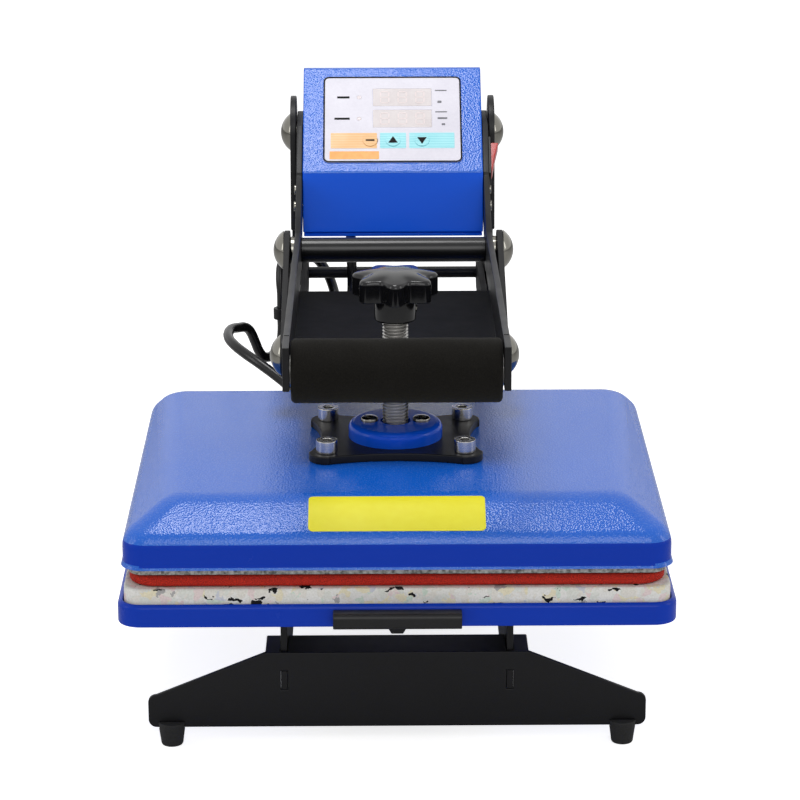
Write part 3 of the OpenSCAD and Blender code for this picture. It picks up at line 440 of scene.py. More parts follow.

# bluePaint carries painted glints, lighter specks in the middles of its dimples
bluePaint = hammerPaint("bluePaint", (0.005, 0.142, 0.72), (0.004, 0.120, 0.66),
    scale=820.0, spread=0.1, gloss=0.15, dull=0.22, specular=0.44,
    strength=0.4, depth=0.0005, upOnly=(0.2, 0.6), flake=(0.2, 0.42, 0.95), flakeShare=0.22)
# darker copy of the blue for upright faces and the tray: its darker colour is painted shade; it also
# has a lower specular and shallower dimples
paintedShadeBlue = hammerPaint("paintedShadeBlue", (0.003, 0.048, 0.52), (0.003, 0.040, 0.46),
    scale=260.0, spread=0.7, gloss=0.2, dull=0.28, specular=0.14, strength=0.06, depth=0.0005)
# lighter copy of the blue for the box's upright and downward faces, its lip and the collar: its
# lighter colour is painted light; it also has a lower specular and shallower dimples
paintedLightBlue = hammerPaint("paintedLightBlue", (0.006, 0.125, 0.92), (0.005, 0.112, 0.86),
    scale=260.0, spread=0.7, gloss=0.16, dull=0.24, specular=0.2, strength=0.06, depth=0.0005)
blackPaint = grainMaterial("blackPaint", (0.0045, 0.0045, 0.0052), (0.0065, 0.0065, 0.0075),
    scale=1500.0, gloss=0.34, dull=0.46, specular=0.24, strength=0.16)
matteBlack = grainMaterial("matteBlack", (0.0042, 0.0042, 0.0048), (0.006, 0.006, 0.007),
    scale=1500.0, gloss=0.5, dull=0.62, specular=0.04, strength=0.1)
glossBlack = grainMaterial("glossBlack", (0.006, 0.006, 0.007), (0.009, 0.009, 0.010),
    scale=500.0, gloss=0.16, dull=0.26, specular=0.35, strength=0.05)
knobPlastic = grainMaterial("knobPlastic", (0.006, 0.006, 0.007), (0.008, 0.008, 0.009),
    scale=260.0, gloss=0.07, dull=0.13, specular=0.3, coat=0.12, strength=0.025)
blackPlastic = grainMaterial("blackPlastic", (0.005, 0.005, 0.0055), (0.008, 0.008, 0.0085),
    scale=900.0, gloss=0.32, dull=0.45, specular=0.3, strength=0.12)
footRubber = grainMaterial("footRubber", (0.012, 0.012, 0.012), (0.02, 0.02, 0.02),
    scale=1100.0, gloss=0.62, dull=0.8, specular=0.35, strength=0.25)
gripFoam = grainMaterial("gripFoam", (0.0055, 0.005, 0.0042), (0.0115, 0.0105, 0.0088),
    scale=1900.0, detail=4.0, gloss=0.85, dull=0.97, specular=0.12, sheen=0.02,
    strength=0.5, depth=0.0004)
leadSleeve = grainMaterial("leadSleeve", (0.0035, 0.0035, 0.004), (0.006, 0.006, 0.0065),
    scale=700.0, gloss=0.2, dull=0.28, specular=0.35, strength=0.1)
redSilicone = grainMaterial("redSilicone", (0.27, 0.010, 0.006), (0.70, 0.034, 0.016),
    scale=1500.0, detail=5.0, gloss=0.72, dull=0.88, specular=0.25, strength=0.7, depth=0.0006)
castAluminium = grainMaterial("castAluminium", (0.10, 0.10, 0.095), (0.42, 0.42, 0.41),
    scale=520.0, detail=6.0, gloss=0.38, dull=0.6, metallic=1.0, strength=0.2)
yellowFilm = grainMaterial("yellowFilm", (0.96, 0.88, 0.02), (0.98, 0.91, 0.03),
    scale=160.0, gloss=0.34, dull=0.44, specular=0.2, strength=0.03, depth=0.0002)
whiteFilm = grainMaterial("whiteFilm", (0.68, 0.66, 0.75), (0.71, 0.69, 0.78),
    scale=420.0, gloss=0.3, dull=0.42, strength=0.04, depth=0.0002)
windowFilm = grainMaterial("windowFilm", (0.50, 0.44, 0.45), (0.53, 0.47, 0.475),
    scale=300.0, gloss=0.2, dull=0.3, strength=0.02, depth=0.0002)
faintDigit = grainMaterial("faintDigit", (0.60, 0.50, 0.50), (0.63, 0.53, 0.53),
    scale=300.0, gloss=0.22, dull=0.32, strength=0.02, depth=0.0002)
blackInk = grainMaterial("blackInk", (0.004, 0.004, 0.005), (0.007, 0.007, 0.008),
    scale=600.0, gloss=0.5, dull=0.6, specular=0.1, strength=0.03, depth=0.0002)
greyInk = grainMaterial("greyInk", (0.09, 0.09, 0.11), (0.14, 0.14, 0.17),
    scale=600.0, gloss=0.4, dull=0.5, strength=0.03, depth=0.0002)
orangeInk = grainMaterial("orangeInk", (0.88, 0.36, 0.04), (0.92, 0.42, 0.06),
    scale=300.0, gloss=0.35, dull=0.45, strength=0.03, depth=0.0002)
orangeKey = stripedPrint("orangeKey", (0.90, 0.55, 0.24), (0.86, 0.47, 0.17))
cyanKey = stripedPrint("cyanKey", (0.33, 0.80, 0.86), (0.24, 0.70, 0.78))
redPlastic = grainMaterial("redPlastic", (0.48, 0.022, 0.02), (0.55, 0.03, 0.026),
    scale=420.0, gloss=0.2, dull=0.3, strength=0.05)
lampLens = grainMaterial("lampLens", (0.50, 0.42, 0.44), (0.56, 0.48, 0.5),
    scale=500.0, gloss=0.14, dull=0.22, strength=0.03, depth=0.0002)
boardGreen = grainMaterial("boardGreen", (0.02, 0.14, 0.05), (0.03, 0.19, 0.07),
    scale=300.0, gloss=0.35, dull=0.5, strength=0.1)
mineralBoard = grainMaterial("mineralBoard", (0.66, 0.63, 0.55), (0.74, 0.71, 0.63),
    scale=400.0, gloss=0.85, dull=0.95, specular=0.2, strength=0.4, depth=0.0005)
rebondFoam = rebondMaterial()
plainSteel = turnedSteel("plainSteel", (0.52, 0.51, 0.49),
    lines=(1, 1, 9), gloss=0.24, dull=0.4)
brightSteel = turnedSteel("brightSteel", (0.27, 0.26, 0.23),
    lines=(9, 1, 1), gloss=0.08, dull=0.16, strength=0.05)
capSteel = turnedSteel("capSteel", (0.62, 0.61, 0.60),
    lines=(6, 6, 1), gloss=0.16, dull=0.28, strength=0.2)
print("materials built:", len(bpy.data.materials))


# CAD pieces with the small edge rounds that folded sheet, paint and moulding leave

edgeFinish = [
    ("base", blackPaint, "black_paint", {
        "left_base_plate": 0.0006, "right_base_plate": 0.0006, "front_foot": 0.0007,
        "rear_foot": 0.0007, "left_bed_rail": 0.0003, "right_bed_rail": 0.0003,
        "lead_clip": 0.0006, "arm_pivot_shaft": 0.0004}),
    ("base", footRubber, "foot_rubber", {"rubber_feet": 0.0011}),
    ("base", brightSteel, "bright_screws", {"top_pivot_bolts": 0.0004}),
    # the tray takes the darker copy of the blue: painted shade
    ("bed", paintedShadeBlue, "blue_paint", {"lower_tray": 0.0008}),
    ("bed", blackPlastic, "black_plastic", {"drawer_pull": 0.0005}),
    ("bed", blackPaint, "black_paint", {"drawer_catch": 0.0005}),
    ("bed", plainSteel, "bare_steel", {"bed_runners": 0.0003}),
    ("swing_arm", matteBlack, "black_paint", {"arm": 0.0008}),
    ("swing_arm", plainSteel, "bare_steel", {"pressure_nut": 0.0006}),
    ("upper_platen", castAluminium, "aluminium", {"heating_plate": 0.0007}),
    ("upper_platen", blackPaint, "black_paint", {"bracket_plate": 0.0008}),
    ("upper_platen", capSteel, "bright_screws", {"cap_screws": 0.0006}),
    ("upper_platen", blackPlastic, "black_plastic", {"platen_gland": 0.0006}),
    ("pressure_spindle", brightSteel, "bright_screws", {"set_screw": 0.0005}),
    ("lever", blackPaint, "black_paint", {"left_lever_plate": 0.0006, "right_lever_plate": 0.0006}),
    ("lever", glossBlack, "black_paint", {"spacer_tube": 0.0005}),
    ("lever", brightSteel, "bright_screws", {"mid_pivot_bolts": 0.0004, "box_screws": 0.0005}),
    ("lever", bluePaint, "blue_paint", {"control_box": 0.0009, "box_back": 0.0006}),
    ("lever", blackPlastic, "black_plastic", {"switch_bezel": 0.0004, "box_gland": 0.0006}),
    ("power_rocker", redPlastic, "rocker_red", {"rocker": 0.0006}),
    ("link_pair", blackPaint, "black_paint", {"left_link": 0.0006, "right_link": 0.0006}),
    ("link_pair", brightSteel, "bright_screws", {"low_pivot_bolts": 0.0004}),
    ("set_key", orangeKey, "key_orange", {"key_set": 0.0003}),
    ("up_key", cyanKey, "key_cyan", {"key_up": 0.0003}),
    ("down_key", cyanKey, "key_cyan", {"key_down": 0.0003}),
]
finish = {"weld": 0.00001, "flat": 0.4, "sharp": 38, "segments": 2, "smooth": 32, "paintedLightBelow": 0.35}


def finishEdges(nodeName, radius, body, material):
    piece = cadNodes[nodeName].copy()
    piece.data = cadNodes[nodeName].data.copy()
    piece.parent = None
    for key in list(piece.keys()):
        del piece[key]
    bpy.context.scene.collection.objects.link(piece)
    makeActive(piece)
    piece.name = nodeName + "Finish"
    bpy.ops.mesh.customdata_custom_splitnormals_clear()
    editMode("EDGE")
    bpy.ops.mesh.select_all(action="SELECT")
    bpy.ops.mesh.remove_doubles(threshold=finish["weld"])
    bpy.ops.mesh.dissolve_limited(angle_limit=math.radians(finish["flat"]))
    bpy.ops.mesh.select_all(action="DESELECT")
    bpy.ops.mesh.edges_select_sharp(sharpness=math.radians(finish["sharp"]))
    bpy.ops.mesh.bevel(offset=radius, segments=finish["segments"], affect="EDGES",
                       clamp_overlap=False)
    objectMode()
    smoothByAngle(piece, finish["smooth"])
    applyModifier(piece, "WEIGHTED_NORMAL", keep_sharp=True)
    dress(piece, material)
    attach(piece, body)
    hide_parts(nodeName)
    return piece


for body, material, slotName, rounds in edgeFinish:
    for nodeName, radius in rounds.items():
        finished = finishEdges(nodeName, radius, body, material)
        if nodeName == "control_box":
            # box faces that are upright or turned down get the lighter copy of the blue: painted
            # light
            paintFaces(finished, paintedLightBlue, lambda face: face.normal.z < finish["paintedLightBelow"])
print("edges finished:", sum(len(group[3]) for group in edgeFinish))

rockerLow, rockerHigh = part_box("rocker")
rockerMark = {"length": 0.0042, "width": 0.0009, "film": 0.0002, "up": 0.0058,
              "dip": 0.0026, "halfSpan": 0.0118}


def buildRockerMark():  # short white line on the upper half of the switch
    lean = math.atan2(rockerMark["dip"], rockerMark["halfSpan"])
    piece = addCube(rockerMark["film"], rockerMark["width"], rockerMark["length"], (0, 0, 0))
    named("rockerMark")
    middle = (rockerLow + rockerHigh) / 2
    slope = Vector((0, math.cos(panel["tilt"]), math.sin(panel["tilt"])))
    face = rockerHigh.x - rockerMark["dip"] + math.tan(lean) * rockerMark["up"]
    place = Vector((face, middle.y, middle.z)) + slope * rockerMark["up"]
    turn = Matrix.Rotation(panel["tilt"] - math.pi / 2, 4, "X") @ Matrix.Rotation(lean, 4, "Y")
    piece.matrix_world = Matrix.Translation(place) @ turn
    settle(piece)
    dress(piece, whiteFilm)
    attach(piece, "power_rocker")


buildRockerMark()

plainLooks = {
    "heating_element": plainSteel, "insulation": mineralBoard, "platen_posts": plainSteel,
    "grip_tube": plainSteel, "panel_overlay": whiteFilm, "display_windows": windowFilm,
    "indicator_lamps": lampLens, "circuit_board": boardGreen,
}
for nodeName, material in plainLooks.items():
    node = cadNodes[nodeName]
    node.data.materials.clear()
    node.data.materials.append(material)


# folded edge of the box's bottom sheet

boxLow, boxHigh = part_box("control_box")
boxLip = {"depth": 0.016, "round": 0.0003,
          "steps": [(0.0022, 0.0030, 0.0008), (0.0006, 0.0012, 0.0021)]}


def buildBoxLip():
    sheets = []
    top = boxLow.z
    for inset, back, thick in boxLip["steps"]:
        width = boxHigh.x - boxLow.x - 2 * inset
        sheets.append(addCube(width, boxLip["depth"], thick,
                              (0, boxLow.y + back + boxLip["depth"] / 2, top - thick / 2)))
        bevelEdges(lambda a, b: True, boxLip["round"], 2)
        top -= thick
    piece = joinPieces(sheets, "boxLip")
    smoothByAngle(piece, softBelow["sheet"])
    # the lip takes the lighter copy of the blue: painted light
    dress(piece, paintedLightBlue)
    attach(piece, "lever")


buildBoxLip()


# stamped cover of the upper platen

coverLow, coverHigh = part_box("platen_cover")
cover = {
    "lip": 0.001, "lipHeight": 0.0025, "corner": 0.013, "wall": 0.019,
    "run": 0.032, "sideRun": 0.027, "backRun": 0.016, "flare": 1.10,
    "sheet": 0.0014, "foldRound": 0.0075, "topRound": 0.008, "lipRound": 0.0012, "paintedShadeTurn": 0.3,
}
cover["width"] = coverHigh.x - coverLow.x - 2 * cover["lip"]
cover["depth"] = coverHigh.y - coverLow.y - 2 * cover["lip"]
cover["bottom"] = coverLow.z
cover["rise"] = coverHigh.z - coverLow.z - cover["wall"]


def buildCover():
    look = cover
    middle = (0, screwY, 0)
    flared = (look["width"] + 2 * look["lip"], look["depth"] + 2 * look["lip"])
    piece = addSheet("platenCover", *flared, (0, screwY, look["bottom"]))
    roundCorners(look["corner"] + look["lip"], 14)
    steps = [
        (look["lipHeight"], look["width"] / flared[0], look["depth"] / flared[1], 0),
        (look["wall"] - look["lipHeight"], 1, 1, 0),
        (look["rise"], 1 - 2 * look["sideRun"] / look["width"],
         1 - (look["run"] + look["backRun"]) / look["depth"], (look["run"] - look["backRun"]) / 2),
    ]
    height = look["bottom"]
    for up, shrinkX, shrinkY, back in steps:
        pickFaces(lambda face: abs(face.center.z - height) < hair)
        extrudeUp(up)
        bpy.ops.transform.resize(value=(shrinkX, shrinkY, 1), center_override=middle)
        bpy.ops.transform.translate(value=(0, back, 0))
        objectMode()
        height += up
    pickFaces(lambda face: abs(face.center.z - look["bottom"]) < hair)
    bpy.ops.mesh.delete(type="FACE")
    objectMode()
    editMode("VERT")
    bpy.ops.mesh.select_all(action="DESELECT")
    objectMode()
    for vertex in piece.data.vertices:  # the side slopes narrow towards the back
        vertex.select = abs(vertex.co.z - height) < hair and vertex.co.y > screwY
    editMode("VERT")
    bpy.ops.transform.resize(value=(look["flare"], 1, 1), center_override=middle)
    objectMode()
    recalculate()
    folds = [(height, look["topRound"], 7), (look["bottom"] + look["wall"], look["foldRound"], 7),
             (look["bottom"] + look["lipHeight"], look["lipRound"], 2)]
    for fold, radius, segments in folds:
        bevelEdges(atLevel(fold), radius, segments, clamp_overlap=False)
    applyModifier(piece, "SOLIDIFY", thickness=look["sheet"], offset=-1)
    smoothByAngle(piece, softBelow["sheet"])
    dress(piece, bluePaint)
    # upright faces of the cover get the darker copy of the blue: painted shade
    paintFaces(piece, paintedShadeBlue, lambda face: face.normal.z < look["paintedShadeTurn"])
    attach(piece, "upper_platen")
    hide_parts("platen_cover")
    return piece


coverPiece = buildCover()
print("cover stamped")

label = {"width": 0.1035, "height": 0.0300, "corner": 0.003, "film": 0.00016, "down": 0.0145,
         "cuts": 9, "clear": 0.00006}


def buildLabel():  # plain film that follows the front slope of the cover
    slope = math.atan2(cover["rise"], cover["run"])
    topEdge = Vector((0, screwY - cover["depth"] / 2 + cover["run"], coverHigh.z))
    along = Vector((0, -math.cos(slope), -math.sin(slope)))
    piece = addSheet("frontLabel", label["width"], label["height"])
    roundCorners(label["corner"], 6)
    bpy.ops.mesh.select_mode(type="FACE")
    for cut in range(label["cuts"]):
        across = label["height"] * (cut - label["cuts"] // 2) / (label["cuts"] + 1)
        bpy.ops.mesh.select_all(action="SELECT")
        bpy.ops.mesh.bisect(plane_co=(0, across, 0), plane_no=(0, 1, 0))
    objectMode()
    piece.location = topEdge + along * label["down"]
    piece.rotation_euler = (slope, 0, 0)
    settle(piece)
    applyModifier(piece, "SHRINKWRAP", target=coverPiece, wrap_method="NEAREST_SURFACEPOINT",
                  wrap_mode="ABOVE_SURFACE", offset=label["clear"])
    applyModifier(piece, "SOLIDIFY", thickness=label["film"], offset=1)
    recalculate()
    smoothByAngle(piece, softBelow["sheet"])
    dress(piece, yellowFilm)
    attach(piece, "upper_platen")


buildLabel()


# pads of the bed

pads = {
    "rebondPad": {
        "node": "rebond_pad", "corner": 0.0105, "edge": 0.0009, "lump": 0.0005, "grain": 0.012,
        "material": rebondFoam, "slot": "rebond_foam", "fill": 0.95},
    "siliconePad": {
        "node": "silicone_pad", "corner": 0.016, "edge": 0.0022, "lump": 0.0003, "grain": 0.02,
        "material": redSilicone, "slot": "red_silicone", "fill": 1.0},
}
padMesh = {"slack": (0.0004, 0.0004, 0.0002), "voxel": 0.0016, "sink": 0.75, "kept": 0.35}


def lumpy(piece, name, grain, lump, sink):  # slight lumps of cut foam and moulded sheet
    clouds = bpy.data.textures.new(name, "CLOUDS")
    clouds.noise_scale = grain
    applyModifier(piece, "DISPLACE", texture=clouds, strength=lump, mid_level=sink,
                  texture_coords="GLOBAL")


def buildPad(name):
    look = pads[name]
    low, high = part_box(look["node"])
    width, depth, height = high - low - Vector(padMesh["slack"])
    piece = addCube(width, depth, height, (low + high) / 2)
    named(name)
    bevelEdges(lambda a, b: abs(a.z - b.z) > height / 2, look["corner"], 8)
    bevelEdges(level, look["edge"], 3)
    editMode("FACE")
    bpy.ops.mesh.select_all(action="SELECT")
    bpy.ops.mesh.quads_convert_to_tris()
    bpy.ops.mesh.select_all(action="DESELECT")
    objectMode()
    applyModifier(piece, "REMESH", mode="VOXEL", voxel_size=padMesh["voxel"])
    lumpy(piece, name + "Lumps", look["grain"], look["lump"], padMesh["sink"])
    applyModifier(piece, "DECIMATE", ratio=padMesh["kept"])
    makeActive(piece)
    bpy.ops.object.shade_smooth()
    dress(piece, look["material"])
    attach(piece, "bed")
    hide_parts(look["node"])


for name in pads:
    buildPad(name)
print("pads made")


# foam sleeve of the grip

gripLow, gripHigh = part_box("foam_grip")
grip = {"endRound": 0.0028, "lump": 0.0007, "grain": 0.03, "sink": 0.7, "cuts": 44, "fill": 0.95,
        "sideSlack": 0.0001, "endSlack": 0.0004}
grip["radius"] = (gripHigh.z - gripLow.z) / 2 - grip["sideSlack"]
grip["length"] = gripHigh.x - gripLow.x - grip["endSlack"]


def buildGrip():
    middle = (gripLow + gripHigh) / 2
    piece = addRod(grip["radius"], grip["length"], middle, (0, math.pi / 2, 0), 72)
    named("gripSleeve")
    half = grip["length"] / 2
    bevelEdges(lambda a, b: abs(abs(a.x) - half) < hair and abs(a.x - b.x) < hair,
               grip["endRound"], 6)
    pickEdges(lambda a, b: abs(a.x - b.x) > half)
    bpy.ops.mesh.subdivide(number_cuts=grip["cuts"])
    objectMode()
    lumpy(piece, "sleeveLumps", grip["grain"], grip["lump"], grip["sink"])
    smoothByAngle(piece, softBelow["moulded"])
    dress(piece, gripFoam)
    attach(piece, "lever")
    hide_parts("foam_grip")


buildGrip()


# star knob with rounded lobes and a crowned top

knobLow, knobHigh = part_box("star_knob")
knob = {"lobes": 7, "bite": 0.0066, "crown": 0.0034, "edge": 0.0022, "hub": 0.0145,
        "hubRadius": 0.0128, "rings": 6, "turn": -0.225, "underRound": 0.0008, "hubRound": 0.0012,
        "hubSunk": 0.002, "fadeFrom": 0.35, "fadeOver": 0.55, "dome": 2.2, "facets": 18,
        "sideSlack": 0.0002, "topSlack": 0.0001}
knob["radius"] = (knobHigh.y - knobLow.y) / 2 - knob["sideSlack"]
knob["bottom"] = knobLow.z + knob["hub"]
knob["height"] = knobHigh.z - knob["bottom"] - knob["topSlack"]


def roundTop(radius, steps):  # insets the top face along a quarter round and leaves it picked
    pickFaces(lambda face: face.normal.z > topFacing)
    for step in range(steps):
        low, high = (math.pi / 2 * (step + turn) / steps for turn in (0, 1))
        bpy.ops.mesh.inset(thickness=radius * (math.cos(low) - math.cos(high)),
                           depth=radius * (math.sin(high) - math.sin(low)))


def buildKnob():
    look = knob
    wallHeight = look["height"] - look["crown"] - look["edge"]
    body = addRod(look["radius"], wallHeight, (0, screwY, look["bottom"] + wallHeight / 2),
                  vertices=look["lobes"] * look["facets"])
    roundTop(look["edge"], 5)
    for _ in range(look["rings"]):
        bpy.ops.mesh.inset(thickness=(look["radius"] - look["edge"]) / (look["rings"] + 1))
    objectMode()
    for vertex in body.data.vertices:
        x, y = vertex.co.x, vertex.co.y - screwY
        share = math.hypot(x, y) / look["radius"]
        wave = 0.5 - 0.5 * math.cos(look["lobes"] * (math.atan2(y, x) + look["turn"]))
        fade = min(1, max(0, (share - look["fadeFrom"]) / look["fadeOver"]))
        pull = 1 - look["bite"] / look["radius"] * wave * fade * fade * (3 - 2 * fade)
        vertex.co.x = x * pull
        vertex.co.y = y * pull + screwY
        if vertex.co.z > look["bottom"] + wallHeight / 2:
            vertex.co.z += look["crown"] * (1 - share ** look["dome"])
    bevelEdges(atLevel(look["bottom"]), look["underRound"], 3)
    hubHeight = look["hub"] + look["hubSunk"]
    hub = addRod(look["hubRadius"], hubHeight, (0, screwY, knobLow.z + hubHeight / 2), vertices=64)
    bevelEdges(atLevel(knobLow.z), look["hubRound"], 4)
    piece = joinPieces([body, hub], "starKnob")
    smoothByAngle(piece, softBelow["moulded"])
    applyModifier(piece, "WEIGHTED_NORMAL", keep_sharp=True)
    dress(piece, knobPlastic)
    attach(piece, "pressure_spindle")
    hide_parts("star_knob")


buildKnob()
print("grip and knob made")


# thrust collar with a soft top edge, and its two screws

collarLow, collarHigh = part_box("thrust_collar")
collar = {"edge": 0.0042, "bore": 0.0094, "sink": 0.003, "screwAt": 0.016, "screwRadius": 0.0054,
          "screwHeight": 0.0026, "screwEdge": 0.0016, "socket": 0.0022, "socketDeep": 0.0014}


def buildCollar():
    look = collar
    radius = (collarHigh.x - collarLow.x) / 2
    wall = collarHigh.z - collarLow.z - look["edge"]
    addRod(radius, wall, (0, screwY, collarLow.z + wall / 2), vertices=96)
    roundTop(look["edge"], 7)
    bpy.ops.mesh.inset(thickness=radius - look["edge"] - look["bore"])
    extrudeUp(-look["sink"])
    objectMode()
    piece = named("thrustCollar")
    smoothByAngle(piece, softBelow["sheet"])
    applyModifier(piece, "WEIGHTED_NORMAL", keep_sharp=True)
    # the collar takes the lighter copy of the blue: painted light
    dress(piece, paintedLightBlue)
    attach(piece, "upper_platen")
    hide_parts("thrust_collar")


def buildCollarScrews():
    look = collar
    heads = []
    wall = look["screwHeight"] - look["screwEdge"]
    for side in (-1, 1):
        place = (side * look["screwAt"], screwY, collarHigh.z + wall / 2)
        heads.append(addRod(look["screwRadius"], wall, place))
        roundTop(look["screwEdge"], 5)
        bpy.ops.mesh.inset(thickness=look["screwRadius"] - look["screwEdge"] - look["socket"])
        extrudeUp(-look["socketDeep"])
        objectMode()
    piece = joinPieces(heads, "collarScrews")
    smoothByAngle(piece, softBelow["sheet"])
    dress(piece, brightSteel)
    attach(piece, "upper_platen")
    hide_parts("collar_screws")


buildCollar()
buildCollarScrews()
print("collar made")


# threaded pressure screw

screwLow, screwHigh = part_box("pressure_screw")
thread = {"crest": 0.0080, "root": 0.0069, "pitch": 0.002, "steps": 40, "footRadius": 0.0117,
          "footHeight": 0.004, "footRound": 0.0004, "start": 0.001, "intoKnob": 0.004,
          "flat": (0.42, 0.58), "overlap": 0.0001, "merge": 0.000001}
thread["turns"] = int((knobLow.z + thread["intoKnob"] - screwLow.z) / thread["pitch"])


def buildThread():
    look = thread
    clearSelection()
    bpy.ops.mesh.primitive_plane_add(size=1, location=(0, screwY, 0))
    piece = named("pressureScrew")
    editMode("EDGE")
    bpy.ops.mesh.select_all(action="SELECT")
    bpy.ops.mesh.delete(type="ONLY_FACE")
    objectMode()
    pickEdges(lambda a, b: a.y > 0 and b.y > 0)
    bpy.ops.mesh.delete(type="EDGE")
    objectMode()
    order = sorted(piece.data.vertices, key=lambda v: (v.co.x, -v.co.y if v.co.x < 0 else v.co.y))
    rise = look["pitch"]
    low, high = look["flat"]
    for vertex, (reach, up) in zip(order, [(look["root"], 0), (look["crest"], low * rise),
                                           (look["crest"], high * rise), (look["root"], rise)]):
        vertex.co = (reach, 0, screwLow.z + look["start"] + up)
    applyModifier(piece, "SCREW", angle=math.tau, screw_offset=rise, iterations=look["turns"],
                  steps=look["steps"], render_steps=look["steps"], use_merge_vertices=True,
                  merge_threshold=look["merge"], use_smooth_shade=True)
    settle(piece)
    recalculate()
    core = addRod(look["root"] + look["overlap"], screwHigh.z - screwLow.z,
                  (screwLow + screwHigh) / 2)
    tall = look["footHeight"]
    foot = addRod(look["footRadius"], tall, (0, screwY, screwLow.z + tall / 2))
    bevelEdges(level, look["footRound"], 2)
    joined = joinPieces([piece, core, foot], "pressureScrew")
    smoothByAngle(joined, softBelow["thread"])
    dress(joined, plainSteel)
    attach(joined, "pressure_spindle")
    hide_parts("pressure_screw")


buildThread()
print("screw threaded")


# print on the panel in mm: X across, U up the slope

panelPlace = Matrix.Translation(panel["centre"]) @ Matrix.Rotation(panel["tilt"], 4, "X")


def panelTile(name, x, u, width, height, lift, thick, corner, material=None, slotName=None,
              body="lever"):
    place = (x / 1000, u / 1000, panel["film"] + lift + thick / 2)
    piece = addCube(width / 1000, height / 1000, thick, place)
    named(name)
    bevelEdges(lambda a, b: abs(a.z - b.z) > thick / 2, corner, 4)
    piece.matrix_world = panelPlace
    settle(piece)
    if material:
        dress(piece, material)
        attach(piece, body)
    return piece


printing = {
    "film": 0.00012,
    "keyBlocks": [("orangeBlock", -26.2, 31.3, orangeKey, "key_orange"),
                  ("upBlock", 0.3, 17.7, cyanKey, "key_cyan"),
                  ("downBlock", 26.6, 30.6, cyanKey, "key_cyan")],
    "blockU": -18.3, "blockHeight": 13.0,
    "strip": (-25.9, -30.6, 33.4, 6.6),
    "leftDashes": [(-33.4, 18.7, 8.4, 1.7), (-34.2, 0.4, 10.4, 1.7)],
    "rightDashes": [(33.2, 24.4, 8.0, 0.9), (32.2, 14.6, 2.8, 1.9), (33.2, 6.0, 8.0, 0.9),
                    (34.0, 0.6, 6.6, 1.5), (34.6, -4.6, 2.4, 1.5)],
    "arrows": [("upArrow", 0.3, 1, "up_key"), ("downArrow", 19.9, -1, "down_key")],
    "dash": (-15.2, 6.0, 1.3),
    "keyTop": 0.0012,
    "arrowRadius": 0.0037, "arrowDown": 0.0004, "arrowCorner": 0.00025,
    "blockCorner": 0.0006, "stripCorner": 0.0004, "dashCorner": 0.0003, "setCorner": 0.0004,
}


def buildPrint():
    film = printing["film"]
    for name, x, width, material, slotName in printing["keyBlocks"]:
        panelTile(name, x, printing["blockU"], width, printing["blockHeight"], 0, film,
                  printing["blockCorner"], material, slotName)
    panelTile("orangeStrip", *printing["strip"], 0, film, printing["stripCorner"], orangeInk,
              "overlay_print")
    for side, ink in (("leftDashes", blackInk), ("rightDashes", greyInk)):
        dashes = [panelTile(side, *dash, 0, film, printing["dashCorner"]) for dash in printing[side]]
        piece = joinPieces(dashes, side)
        dress(piece, ink)
        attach(piece, "lever")
    top = printing["keyTop"] - panel["film"]
    x, width, height = printing["dash"]
    panelTile("setDash", x, printing["blockU"], width, height, top, film, printing["setCorner"],
              blackInk, "overlay_print", "set_key")
    for name, x, way, body in printing["arrows"]:
        middle = printing["blockU"] / 1000 - way * printing["arrowDown"]
        place = (x / 1000, middle, printing["keyTop"] + film / 2)
        turn = (0, 0, 0 if way > 0 else math.pi)
        piece = addRod(printing["arrowRadius"], film, place, turn, vertices=3)
        named(name)
        bevelEdges(lambda a, b: abs(a.z - b.z) > film / 2, printing["arrowCorner"], 2)
        piece.matrix_world = panelPlace
        settle(piece)
        dress(piece, blackInk)
        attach(piece, body)


outline = {"width": 0.094, "height": 0.073, "corner": 0.004, "line": 0.0011, "film": 0.0002,
           "proud": 0.4}


def buildOutline():  # dark line round the overlay
    piece = addSheet("overlayLine", outline["width"], outline["height"],
                     (0, 0, panel["film"] + outline["film"] * outline["proud"]))
    roundCorners(outline["corner"], 8)
    bpy.ops.mesh.select_mode(type="FACE")
    bpy.ops.mesh.select_all(action="SELECT")
    bpy.ops.mesh.inset(thickness=outline["line"])
    bpy.ops.mesh.delete(type="FACE")
    objectMode()
    applyModifier(piece, "SOLIDIFY", thickness=outline["film"], offset=0)
    piece.matrix_world = panelPlace
    settle(piece)
    recalculate()
    dress(piece, blackInk)
    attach(piece, "lever")


digits = {"rows": [18.7, 0.4], "columns": [-5.2, 6.8, 18.8], "width": 5.6, "height": 9.6,
          "bar": 1.0, "film": 0.00006, "corner": 0.0002}


def buildDigits():  # unlit seven-segment digits in the two windows
    half, tall, bar = digits["width"] / 2, digits["height"] / 4, digits["bar"]
    across = [(0, way * 2 * tall, digits["width"] - bar, bar) for way in (1, 0, -1)]
    upright = [(side * half, way * tall, bar, 2 * tall - bar)
               for side in (-1, 1) for way in (-1, 1)]
    tiles = [panelTile("digit", column + x, row + u, width, height, 0, digits["film"],
                       digits["corner"])
             for row in digits["rows"] for column in digits["columns"]
             for x, u, width, height in across + upright]
    piece = joinPieces(tiles, "unlitDigits")
    dress(piece, faintDigit)
    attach(piece, "lever")


buildPrint()
buildOutline()
buildDigits()
print("panel printed")


# heater lead, from the box to the clip and from the clip to the platen

